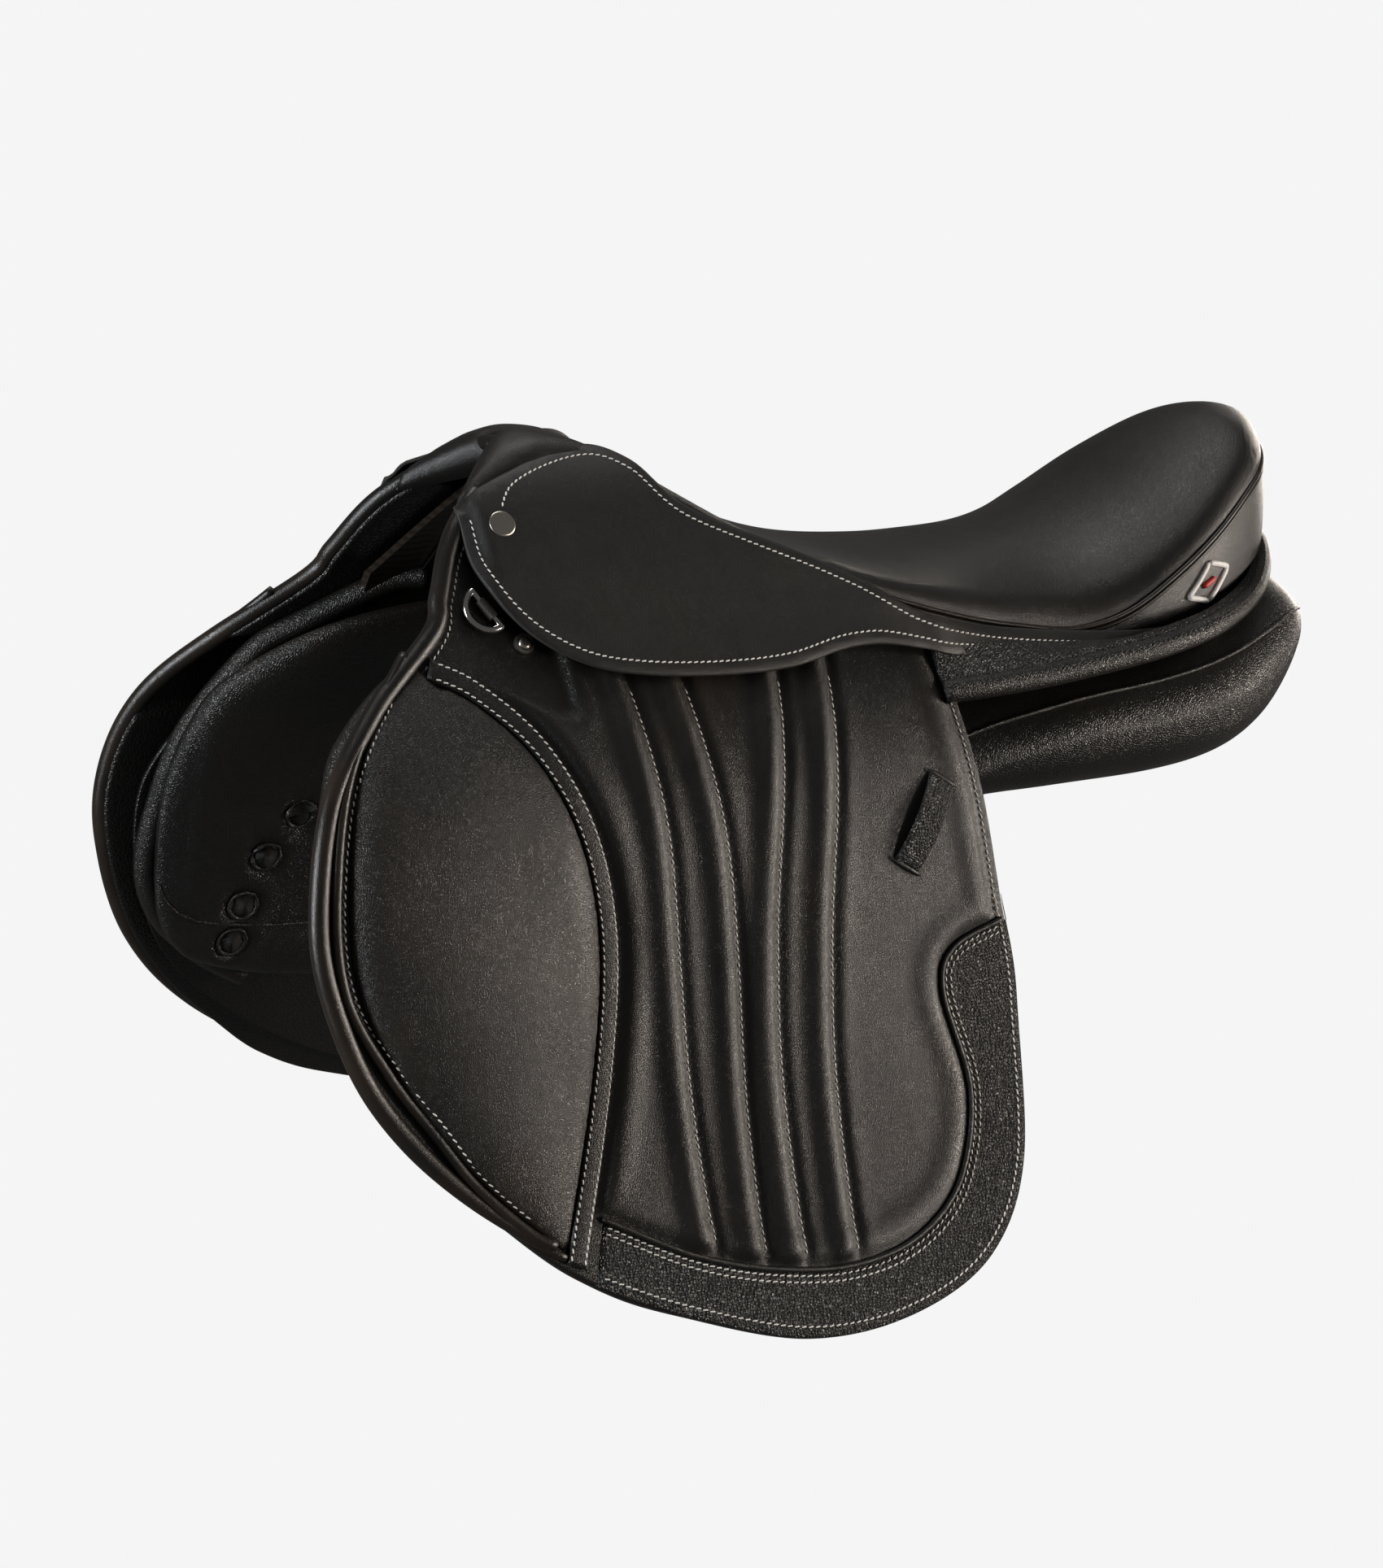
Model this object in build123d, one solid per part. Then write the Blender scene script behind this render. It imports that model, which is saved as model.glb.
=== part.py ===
from build123d import *
import math
import os

os.makedirs("parts", exist_ok=True)

# English jumping saddle in black leather, millimetres, +Z up, +X towards the cantle, near side -Y.
# The origin is the middle of the bearing that the two panels make on the horse's back.

# ---- driving sizes -------------------------------------------------------------------------
SIDE_CURVE = [  # half width of the flap's outer face at each height, from the pommel down
    (0, 175), (34, 150), (57, 120), (84, 80), (115, 40),
    (134, 0), (147, -60), (163, -120), (190, -180), (236, -262),
]
HALF_GAP = 0.4          # clearance each side of the line where a flap or skirt bends
FLAP_THICK = 6.0        # padded flap
SKIVED_THICK = 2.5      # the flap is pared to this at its fold
SKIVED_DEPTH = 14.0     # how far the pared strip runs down from the fold
SKIRT_STAND = 8.0       # the skirt's inner face stands this far off the flap
SKIRT_THICK = 3.5
STRAP_FACE = -7.5       # outer face of the girth straps, measured from the flap's outer face
STRAP_THICK = 4.0
STRAP_WIDTH = 25.0
STRAP_END_Z = -188.0
STRAP_TOP_Z = 47.0
STRAP_CENTRES = (-56.0, -26.0, 4.0)
HOLE_DIA = 5.0
HOLE_PITCH = 19.0
HOLE_COUNT = 7
SWEAT_FACE = -15.8
SWEAT_THICK = 3.0
TREE_FACE = -11.6
TREE_THICK = 7.4
FLAP_BEND_Z = 50.0      # height of the straight line that a flap lifts about
SKIRT_BEND = ((-215.0, 128.0), (20.0, 72.0))   # x, z ends of the line that a skirt lifts about
BAR_CENTRE = (-119.0, 94.0)                    # x, z of the middle of the stirrup bar
BAR_LENGTH = 60.0
BAR_DIA = 6.0
BAR_STAND = 10.0        # bar centre above its plate
BACK_REACH = 300.0      # longer than any half width of the saddle


def half_width(z):
    """Half width of the flap's outer face at a height."""
    for (low_y, high_z), (high_y, low_z) in zip(SIDE_CURVE, SIDE_CURVE[1:]):
        if z >= low_z:
            return low_y + (high_y - low_y) * (high_z - z) / (high_z - low_z)
    return SIDE_CURVE[-1][0]


def side_layer(outer, inner, past_centre=-0.2):
    """Near-side slab between two copies of the side curve, moved out by two distances."""
    def curve(shift):
        return Spline(*[Vector(0, -(y + shift), z) for y, z in SIDE_CURVE])

    first, second = curve(outer), curve(inner)
    face = make_face([first, second, Line(first @ 0, second @ 0), Line(first @ 1, second @ 1)])
    slab = extrude(face, amount=700, dir=(1, 0, 0))
    slab = slab.moved(Location((-370, 0, 0)))
    near_half = Pos(0, past_centre - BACK_REACH / 2, 0) * Box(900, BACK_REACH, 600)
    return slab & near_half


def side_cutter(edges):
    """Outline in the XZ plane, extruded across the near side and a little past the centre."""
    return Pos(0, 2, 0) * extrude(make_face(edges), amount=BACK_REACH, dir=(0, -1, 0))


def curve_xz(*points):
    return Spline(*[Vector(x, 0, z) for x, z in points])


def run_xz(*points):
    return Polyline(*[Vector(x, 0, z) for x, z in points])


def below(z):
    return Pos(0, 0, z - 300) * Box(1200, 1200, 600)


def above(z):
    return Pos(0, 0, z + 300) * Box(1200, 1200, 600)


def under_skirt_bend(shift):
    """Everything below the skirt's bend line, lowered by a distance."""
    (x0, z0), (x1, z1) = SKIRT_BEND
    slope = (z1 - z0) / (x1 - x0)
    left, right = -400, x1
    z_left = z0 + slope * (left - x0) - shift
    z_right = z0 + slope * (right - x0) - shift
    return side_cutter([run_xz((left, z_left), (right, z_right), (right, -400), (left, -400),
                               (left, z_left))])


def surface_plane(x, z, stand):
    """Plane lying on the near side, its x axis fore and aft and its normal pointing outwards."""
    slope = (half_width(z - 6) - half_width(z + 6)) / 12
    normal = Vector(0, -1, slope).normalized()
    foot = Vector(x, -half_width(z), z)
    return Plane(origin=foot + normal * stand, x_dir=(1, 0, 0), z_dir=normal)


def mirrored(shape):
    return mirror(shape, about=Plane.XZ)


# ---- flap ------------------------------------------------------------------------------------
FRONT_TOP = [(-180, 175), (-222, 143), (-241, 114), (-249, 100)]
FLAP_EDGE = [
    (-249, 100), (-291, 69), (-323, 36), (-338, -6), (-338, -48), (-320, -103), (-280, -153),
    (-223, -195), (-178, -215), (-118, -233), (-60, -232), (-9, -213), (22, -172), (34, -100),
    (31, -51), (24, 30), (22, 62),
]
ROLL_WIDTH = 9.5


def moved_in(points, distance):
    """Points of an outline moved to its right-hand side by a distance."""
    result = []
    for i, (x, z) in enumerate(points):
        x0, z0 = points[max(i - 1, 0)]
        x1, z1 = points[min(i + 1, len(points) - 1)]
        length = math.hypot(x1 - x0, z1 - z0)
        result.append((x - (z1 - z0) / length * distance, z + (x1 - x0) / length * distance))
    return result


def flap_lower():
    inner = moved_in(FLAP_EDGE[:7], ROLL_WIDTH) + FLAP_EDGE[7:]
    edge = curve_xz(*inner)
    start, end = inner[0], inner[-1]
    outline = side_cutter([edge, run_xz(end, (end[0], 90), (start[0], 90), start)])
    slab = side_layer(0, -FLAP_THICK) & outline
    skived = side_layer(-SKIVED_THICK, -FLAP_THICK - 1) & above(FLAP_BEND_Z - SKIVED_DEPTH)
    return (slab & below(FLAP_BEND_Z - HALF_GAP)) - skived


def flap_upper():
    inner = moved_in(FRONT_TOP, ROLL_WIDTH)
    inner[0] = (-172, 166)
    lower = moved_in(FLAP_EDGE[:5], ROLL_WIDTH)
    outline = side_cutter([
        curve_xz(*inner), run_xz(inner[-1], lower[0]), curve_xz(*lower),
        run_xz(lower[-1], (22, -48), (22, 80), (-36, 92), (-100, 115), (-150, 148), inner[0]),
    ])
    slab = side_layer(0, -FLAP_THICK) & outline & above(FLAP_BEND_Z + HALF_GAP)
    x, z = BAR_CENTRE
    window = Pos(x, -BACK_REACH / 2, z) * Box(BAR_LENGTH + 34, BACK_REACH, 34)
    return slab - window


def front_roll(upper):
    """Padded roll along the front edge of the flap, above or below the bend line."""
    outer, inner = (FRONT_TOP, moved_in(FRONT_TOP, ROLL_WIDTH - 0.6))
    inner[0] = (-172.5, 167)
    if upper:
        low_outer = FLAP_EDGE[:5]
        low_inner = moved_in(low_outer, ROLL_WIDTH - 0.6)
        outline = side_cutter([
            curve_xz(*outer), curve_xz(*low_outer), run_xz(low_outer[-1], low_inner[-1]),
            curve_xz(*low_inner), run_xz(low_inner[0], inner[-1]), curve_xz(*inner),
            run_xz(inner[0], outer[0]),
        ])
        return side_layer(4, -6) & outline & above(FLAP_BEND_Z + HALF_GAP)
    low_outer = FLAP_EDGE[1:7]
    low_inner = moved_in(FLAP_EDGE[:8], ROLL_WIDTH - 0.6)[1:7]
    outline = side_cutter([
        curve_xz(*low_outer), run_xz(low_outer[-1], low_inner[-1]),
        curve_xz(*low_inner), run_xz(low_inner[0], low_outer[0]),
    ])
    return side_layer(4, -6) & outline & below(FLAP_BEND_Z - HALF_GAP)


BAND_OUTER = [(-207, 52), (-188, 8), (-184, -42), (-203, -134), (-221, -186)]
BAND_WIDTH = 11.0
PAD_FRONT = [(-297, 52), (-316, 6), (-318, -50), (-296, -108), (-266, -148), (-238, -176)]
PAD_HEIGHT = 15.0


def knee_pad():
    rear = moved_in(BAND_OUTER, -BAND_WIDTH - 0.3)
    outline = side_cutter([
        curve_xz(*PAD_FRONT), run_xz(PAD_FRONT[-1], rear[-1]),
        curve_xz(*rear), run_xz(rear[0], PAD_FRONT[0]),
    ])
    base = side_layer(PAD_HEIGHT, 0.3) & outline & below(FLAP_BEND_Z - HALF_GAP)
    return base


def pad_band():
    inner = moved_in(BAND_OUTER, -BAND_WIDTH)
    outline = side_cutter([
        curve_xz(*BAND_OUTER), run_xz(BAND_OUTER[-1], inner[-1]),
        curve_xz(*inner), run_xz(inner[0], BAND_OUTER[0]),
    ])
    return side_layer(3, 0.3) & outline & below(FLAP_BEND_Z - HALF_GAP)


BORDER_INNER = [
    (-213, -168), (-170, -190), (-130, -202), (-87, -207), (-48, -200), (-18, -179), (-2, -140),
    (-9, -92), (0, -73), (26, -63),
]


def flap_border():
    outer = moved_in(FLAP_EDGE, 2.0)[8:15]
    outer[0] = (-208, -199)
    outline = side_cutter([
        curve_xz(*outer), run_xz(outer[-1], BORDER_INNER[-1]),
        curve_xz(*BORDER_INNER), run_xz(BORDER_INNER[0], outer[0]),
    ])
    return side_layer(1.8, 0.3) & outline


KEEPER_CENTRE = (-11, -11)
KEEPER_ANGLE = 56.0


def leather_keeper():
    """Slanted loop that holds the end of the stirrup leather."""
    flat = surface_plane(*KEEPER_CENTRE, 0.4)
    turn = math.radians(KEEPER_ANGLE)
    slant = flat.x_dir * math.cos(turn) + flat.y_dir * math.sin(turn)
    plane = Plane(origin=flat.origin, x_dir=slant, z_dir=flat.z_dir)
    loop = Pos(0, 0, 4.4) * Box(48, 15, 7.6)
    gap = Pos(0, 0, 3.4) * Box(40, 20, 6.4)
    return plane * (loop - gap)


# ---- girth straps and what they hang from ----------------------------------------------------
def girth_strap(centre):
    half = STRAP_WIDTH / 2
    tip = STRAP_END_Z
    outline = side_cutter([
        run_xz((centre - half, tip + 14), (centre - half, STRAP_TOP_Z),
               (centre + half, STRAP_TOP_Z), (centre + half, tip + 14)),
        ThreePointArc((centre - half, 0, tip + 14), (centre, 0, tip), (centre + half, 0, tip + 14)),
    ])
    strap = side_layer(STRAP_FACE, STRAP_FACE - STRAP_THICK) & outline
    for number in range(HOLE_COUNT):
        z = tip + 24 + number * HOLE_PITCH
        hole = surface_plane(centre, z, 0) * Cylinder(HOLE_DIA / 2, 60)
        strap -= hole
    return strap


def girth_straps():
    return Compound(children=[girth_strap(centre) for centre in STRAP_CENTRES])


def girth_web(centre):
    half = STRAP_WIDTH / 2 - 1
    outline = side_cutter([run_xz((centre - half, STRAP_TOP_Z + 2.5), (centre - half, 82),
                                  (centre + half, 80), (centre + half, STRAP_TOP_Z + 2.5),
                                  (centre - half, STRAP_TOP_Z + 2.5))])
    return side_layer(TREE_FACE + 1.9, TREE_FACE + 0.2) & outline


# ---- skirt -----------------------------------------------------------------------------------
SKIRT_TOP = [(-97, 135), (-36, 105), (3, 86), (20, 82)]
SKIRT_HEAD = [(-218, 146), (-188, 153), (-145, 160), (-120, 154), (-97, 135)]
SKIRT_FRONT = [(-218, 146), (-217, 117), (-202, 92), (-176, 74), (-145, 66), (-103, 62), (-66, 62)]
SKIRT_LOW = [(-66, 62), (-31, 67), (6, 66), (20, 64)]
TAIL_SECTIONS = [  # x, then y and z of the tail's top edge and of its lower edge
    (19.5, 92, 81.5, 103.5, 64.5),
    (60, 86, 71, 99, 58),
    (110, 89.5, 64, 97, 54),
    (150, 91.5, 60, 95, 51),
    (190, 85, 60, 87, 51),
    (225, 71, 65, 72, 57),
]


def skirt_slab():
    outline = side_cutter([
        curve_xz(*SKIRT_HEAD), curve_xz(*SKIRT_TOP), run_xz(SKIRT_TOP[-1], SKIRT_LOW[-1]),
        curve_xz(*SKIRT_LOW), curve_xz(*SKIRT_FRONT),
    ])
    return side_layer(SKIRT_STAND + SKIRT_THICK, SKIRT_STAND) & outline


def skirt_tail():
    """Narrow end of the skirt, drawn in under the seat and round the foot of the cantle."""
    faces = []
    for x, top_y, top_z, low_y, low_z in TAIL_SECTIONS:
        corners = [(x, -top_y, top_z), (x, -top_y - SKIRT_THICK, top_z),
                   (x, -low_y - SKIRT_THICK, low_z), (x, -low_y, low_z), (x, -top_y, top_z)]
        faces.append(make_face(Polyline(*corners)))
    return loft(faces, ruled=True)


def skirt_lower():
    return skirt_slab() & under_skirt_bend(HALF_GAP)


def skirt_upper():
    return skirt_slab() + skirt_tail() - under_skirt_bend(-HALF_GAP)


def head_nail():
    plane = surface_plane(-199, 141, 0)
    plane = Plane(origin=plane.origin + Vector(0, -(SKIRT_STAND + SKIRT_THICK), 0),
                  x_dir=(1, 0, 0), z_dir=plane.z_dir)
    dome = Pos(0, 0, 2.6) * Cylinder(7, 2.2)
    return plane * fillet(dome.edges().group_by(Axis.Z)[-1], 1.2)


# ---- stirrup bar -----------------------------------------------------------------------------
def bar_plane():
    return surface_plane(*BAR_CENTRE, 0)


PLATE_STAND = -8.1      # centre of the bar's plate below the flap's outer face
PLATE_THICK = 2.4


def stirrup_bar():
    plate = Pos(0, 0, PLATE_STAND) * Box(BAR_LENGTH + 22, 24, PLATE_THICK)
    bar_z = PLATE_STAND + BAR_STAND
    rod = Pos(4, -3, bar_z) * Rot(0, 90, 0) * Cylinder(BAR_DIA / 2, BAR_LENGTH)
    post_height = BAR_STAND - PLATE_THICK / 2 + 0.5
    post = Pos(-BAR_LENGTH / 2 + 4, -3, PLATE_STAND + PLATE_THICK / 2 + post_height / 2 - 0.25)
    body = plate + rod + post * Box(8, 9, post_height)
    slot = Pos(BAR_LENGTH / 2 + 1, -3, bar_z) * Box(10, 12, 3.0)
    pin_hole = Pos(BAR_LENGTH / 2 + 0.5, -3, bar_z) * Cylinder(1.2, 8)
    return bar_plane() * (body - slot - pin_hole)


def catch_pin():
    bar_z = PLATE_STAND + BAR_STAND
    pin = Pos(BAR_LENGTH / 2 + 0.5, -3, bar_z) * Cylinder(1.15, BAR_DIA - 0.6)
    return bar_plane() * pin


def bar_catch():
    """Thumb catch that closes the rear end of the stirrup bar."""
    bar_z = PLATE_STAND + BAR_STAND
    tongue = Pos(BAR_LENGTH / 2 + 3.2, -3, bar_z) * Box(9, 4.4, 2.3)
    thumb = Pos(BAR_LENGTH / 2 + 9.2, -3, bar_z - 0.8) * Box(3.2, 8, 6)
    hole = Pos(BAR_LENGTH / 2 + 0.5, -3, bar_z) * Cylinder(1.25, 8)
    return bar_plane() * (tongue + thumb - hole)


def bar_rivet(along):
    rivet = Pos(along, 7, PLATE_STAND + PLATE_THICK / 2 + 0.9) * Cylinder(3.2, 1.6)
    return bar_plane() * rivet


# ---- front dee and flap screw ------------------------------------------------------------------
DEE_FOOT = (-215.0, 104.0)
DEE_WIRE = 1.7
DEE_HALF = 11.0
DEE_TILT = 62.0


def dee_plane():
    flat = surface_plane(*DEE_FOOT, 3.1)
    turned = flat.x_dir * math.cos(math.radians(DEE_TILT)) - flat.y_dir * math.sin(
        math.radians(DEE_TILT))
    return Plane(origin=flat.origin, x_dir=turned, z_dir=flat.z_dir)


def front_dee():
    """Wire dee: its straight leg is the hinge, its bow points forwards."""
    bow = Torus(DEE_HALF, DEE_WIRE) & (Pos(0, -50, 0) * Box(100, 100, 100))
    leg = Rot(0, 90, 0) * Cylinder(DEE_WIRE, 2 * DEE_HALF)
    corners = [Pos(side * DEE_HALF, 0, 0) * Sphere(DEE_WIRE) for side in (-1, 1)]
    return dee_plane() * (bow + leg + corners)


def dee_chape():
    """Leather loop riveted to the tree point, round the leg of the dee."""
    loop = Cylinder(DEE_WIRE + 1.3, 11) - Cylinder(DEE_WIRE + 0.3, 20)
    loop = Rot(0, 90, 0) * loop
    cut = Pos(0, -5, 0) * Box(30, 2.5, 30)
    tail = Pos(0, 7, -2.1) * Box(11, 10, 1.6)
    shadow = Rot(0, 90, 0) * Cylinder(DEE_WIRE + 0.3, 20)
    return dee_plane() * (loop - cut + tail - shadow)


SCREW_FOOT = (-200.0, 88.0)


def cup_washer():
    ring = Pos(0, 0, 1.2) * (Cylinder(5.2, 1.9) - Cylinder(3.4, 4))
    return surface_plane(*SCREW_FOOT, 0) * ring


def flap_screw():
    dome = Pos(0, 0, 1.8) * Cylinder(3.2, 3.0)
    dome = fillet(dome.edges().group_by(Axis.Z)[-1], 1.6)
    return surface_plane(*SCREW_FOOT, 0) * dome


# ---- panel, sweat flap, knee block -----------------------------------------------------------
PANEL_SECTIONS = [  # x, top y, top z, bottom y, bottom z, outward and inward thickness, bulge
    (-317, 93, 5, 114, -80, 6, 8, 2),
    (-295, 68, 52, 122, -110, 13, 17, 12),
    (-250, 46, 76, 125, -125, 14, 18, 16),
    (-190, 38, 86, 127, -130, 14, 18, 19),
    (-120, 38, 82, 118, -105, 14, 18, 16),
    (-50, 34, 74, 104, -60, 14, 22, 9),
    (20, 28, 50, 108, -8, 14, 34, 4),
    (90, 24, 36, 114, 8, 18, 36, 0),
    (170, 22, 40, 114, 10, 20, 40, 0),
    (222, 24, 50, 106, 22, 20, 44, 0),
    (248, 34, 56, 94, 32, 18, 38, 0),
    (263, 46, 48, 84, 28, 12, 22, 0),
]
VENT_CENTRES = [(-248, -30), (-264, -53), (-274, -80), (-278, -101)]
VENT_DIA = 15.0
VENT_DEPTH = 6.0


def panel_section(side, x, top_y, top_z, low_y, low_z, outward, inward, bulge):
    middle = Vector(x, -(top_y + low_y) / 2, (top_z + low_z) / 2)
    half = Vector(0, -(top_y - low_y) / 2, (top_z - low_z) / 2)
    normal = Vector(0, -half.Z, half.Y).normalized()
    points = []
    for step in range(12):
        along = math.cos(math.tau * step / 12)
        across = math.sin(math.tau * step / 12)
        thick = outward if across > 0 else inward
        point = middle + half * along + normal * (across * thick + bulge * (1 - along ** 2))
        points.append(Vector(point.X, side * point.Y, point.Z))
    return make_face(Spline(*points, periodic=True))


def panel(side):
    """Flocked cushion, near side for 1 and off side for -1, with vent holes in its front."""
    body = loft([panel_section(side, *section) for section in PANEL_SECTIONS])
    for x, z in VENT_CENTRES:
        foot = Pos(x, side * (52 - half_width(z)), z)
        body -= foot * Rot(90, 0, 0) * Cylinder(VENT_DIA / 2, 2 * VENT_DEPTH)
    return body


SWEAT_EDGE = [
    (-300, 36), (-322, -10), (-322, -60), (-303, -108), (-262, -146), (-215, -176), (-160, -200),
    (-90, -212), (-40, -205), (-5, -178), (13, -120), (12, -40), (8, 36),
]


def sweat_flap():
    outline = side_cutter([curve_xz(*SWEAT_EDGE), run_xz(SWEAT_EDGE[-1], SWEAT_EDGE[0])])
    return side_layer(SWEAT_FACE, SWEAT_FACE - SWEAT_THICK) & outline


BLOCK_EDGE = [(-290, 30), (-316, -8), (-319, -55), (-300, -84), (-286, -60), (-280, -10)]


def knee_block():
    outline = side_cutter([Spline(*[Vector(x, 0, z) for x, z in BLOCK_EDGE], periodic=True)])
    return side_layer(STRAP_FACE, SWEAT_FACE + 0.2) & outline


# ---- tree ------------------------------------------------------------------------------------
def tree_head():
    """Arch of the tree with its two points, the front leaning with the pommel."""
    lean = side_cutter([run_xz((-178, 200), (-150, 200), (-150, 43), (-226, 43), (-222, 100),
                               (-178, 150), (-178, 200))])
    half = side_layer(TREE_FACE, TREE_FACE - TREE_THICK, past_centre=1) & lean & above(44)
    return half + mirrored(half)


def gullet_plate():
    lean = side_cutter([run_xz((-174, 200), (-156, 200), (-156, 96), (-196, 96), (-174, 148),
                               (-174, 200))])
    face = TREE_FACE - TREE_THICK - 1.0
    half = side_layer(face, face - 2, past_centre=1) & lean
    return half + mirrored(half)


def rail():
    outline = side_cutter([
        curve_xz((-149.5, 124), (-90, 100), (-20, 82), (45, 68), (112, 60)),
        run_xz((112, 60), (112, 44)),
        curve_xz((112, 44), (60, 46), (-20, 58), (-90, 74), (-149.5, 92)),
        run_xz((-149.5, 92), (-149.5, 124)),
    ])
    return side_layer(TREE_FACE, TREE_FACE - TREE_THICK) & outline


def plan_ring(outer_x, outer_y, thick):
    """Half ring round the back of the seat, seen from above, with its straight arms."""
    def blade(rx, ry):
        half_ellipse = Pos(150, 0) * Ellipse(rx, ry)
        half_ellipse = half_ellipse & (Pos(350, 0) * Rectangle(400, 400))
        arms = Pos(131.5, 0) * Rectangle(37.2, 2 * ry)
        return half_ellipse + arms

    ring = blade(outer_x, outer_y) - blade(outer_x - thick, outer_y - thick)
    front_cut = Pos(100, 0) * Rectangle(29, 400)
    return extrude(Pos(0, 0, 40) * (ring - front_cut), amount=140)


CANTLE_TOP = [(113, 60.5), (140, 66), (170, 82), (200, 100), (230, 118), (252, 127), (275, 134)]
FACING_LOW = [(113, 57), (140, 54), (170, 52.5), (200, 57), (230, 65), (252, 76), (275, 86)]
BOARD_LOW = [(113, 52), (155, 52), (209, 64), (275, 94)]


def cantle_side(low, top_drop):
    """Side outline under the seam of the seat, from a low curve up to the seat's floor."""
    top = [(x, z - top_drop) for x, z in CANTLE_TOP]
    outline = make_face([curve_xz(*top), run_xz(top[-1], low[-1]), curve_xz(*low[::-1]),
                         run_xz(low[0], top[0])])
    return extrude(outline, amount=260, both=True)


def tree_cantle():
    return plan_ring(115.5, 85.5, 18) & cantle_side(BOARD_LOW, 1.0)


def cantle_facing():
    return plan_ring(118, 88, 2.2) & cantle_side(FACING_LOW, 0.8)


SEAT_SECTIONS = [  # x, half width at the seam, height of the seam, height of the middle, fullness
    (-149, 20, 161, 172, 2.0),
    (-123, 30, 156, 160, 2.2),
    (-97, 47, 139, 146, 2.5),
    (-66, 58, 121, 127, 2.8),
    (-36, 65, 108, 113, 3.0),
    (3, 73, 90, 104, 3.2),
    (45, 79, 76, 101, 3.0),
    (75, 82, 69, 101, 3.0),
    (110, 85, 64, 102, 3.0),
    (140, 87, 70, 107, 3.0),
    (170, 84, 86, 118, 3.2),
    (200, 74, 104, 136, 3.2),
    (230, 58, 122, 152, 3.0),
    (252, 40, 131, 155, 2.8),
    (266, 16, 137, 149, 2.4),
]
SEAT_SKIN = 2.2
SEAT_FLOOR = 3.0
HALF_POINTS = 6


def seat_section(x, half, seam_z, middle_z, fullness, inset):
    """Closed cross-section of the seat: a full crown over a flat floor."""
    reach = half - inset
    crown = max(middle_z - seam_z - inset * 0.6, 2.0)
    floor_z = seam_z - SEAT_FLOOR + inset
    points = []
    for step in range(-HALF_POINTS, HALF_POINTS + 1):
        turn = math.sin(math.pi / 2 * step / HALF_POINTS)
        lift = (1 - abs(turn) ** fullness) ** (1 / fullness)
        points.append(Vector(x, reach * turn, seam_z + inset * 0.2 + crown * lift))
    left, right = Vector(x, -reach, floor_z), Vector(x, reach, floor_z)
    return make_face([Spline(*points), Line(points[-1], right), Line(right, left),
                      Line(left, points[0])])


def seat_solid(inset):
    trimmed = [list(section) for section in SEAT_SECTIONS]
    trimmed[0][0] += inset
    trimmed[-1][0] -= inset
    return loft([seat_section(*section, inset) for section in trimmed], ruled=True)


def seat_foam():
    return seat_solid(SEAT_SKIN + 0.2)


def seat_cover():
    return seat_solid(0) - seat_solid(SEAT_SKIN)


def pommel_cover():
    outline = side_cutter([
        run_xz((-150.5, 181), (-170, 181), (-217, 148)),
        curve_xz((-217, 148), (-188, 155), (-150.5, 163)),
        run_xz((-150.5, 163), (-150.5, 181)),
    ])
    half = side_layer(6, 4.4) & outline
    crown = Pos(-160, 0, 174.2) * Box(18, 11, 1.8)
    return half + mirrored(half) + crown


def strip_under_seat(drop, thick, y_centre, width, x_from, x_to):
    """Strip that follows the floor of the seat from the head to the cantle."""
    points = [(x, seam - SEAT_FLOOR - drop) for x, half, seam, middle, fullness in SEAT_SECTIONS
              if x_from <= x <= x_to]
    low = [(x, z - thick) for x, z in points]
    outline = make_face([run_xz(*points, *low[::-1], points[0])])
    strip = extrude(outline, amount=width / 2, both=True)
    return Pos(0, y_centre, 0) * strip


def seat_webs():
    return strip_under_seat(0.3, 1.5, 0, 50, -123, 239)


def spring_steels():
    near = strip_under_seat(2.2, 1.6, -14, 14, -97, 194)
    return Compound(children=[near, mirrored(near)])


def tree_rivets():
    rivets = []
    for x, z in ((-168, 112), (-168, 92), (-180, 66)):
        near = surface_plane(x, z, 0)
        foot = near.origin + Vector(0, -(TREE_FACE + 0.1), 0)
        plane = Plane(origin=foot, x_dir=(1, 0, 0), z_dir=near.z_dir)
        head = plane * (Pos(0, 0, 1.3) * Cylinder(3, 1.4))
        rivets += [head, mirrored(head)]
    return Compound(children=rivets)


def pair(shape):
    return Compound(children=[shape, mirrored(shape)])


def write(name, shape):
    export_step(shape, f"parts/{name}.step")


# ---- nodes -----------------------------------------------------------------------------------
SIDE_PARTS = {
    "flap_upper": flap_upper(),
    "flap": flap_lower(),
    "front_roll_upper": front_roll(True),
    "front_roll": front_roll(False),
    "knee_pad": knee_pad(),
    "pad_band": pad_band(),
    "flap_border": flap_border(),
    "leather_keeper": leather_keeper(),
    "girth_straps": girth_straps(),
    "skirt_upper": skirt_upper(),
    "skirt": skirt_lower(),
    "head_nail": head_nail(),
    "stirrup_bar": stirrup_bar(),
    "bar_catch": bar_catch(),
    "catch_pin": catch_pin(),
    "front_dee": front_dee(),
    "dee_chape": dee_chape(),
    "sweat_flap": sweat_flap(),
    "knee_block": knee_block(),
    "tree_rail": rail(),
}
for part_name, near_shape in SIDE_PARTS.items():
    write(f"near_{part_name}", near_shape)
    write(f"off_{part_name}", mirrored(near_shape))

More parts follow.
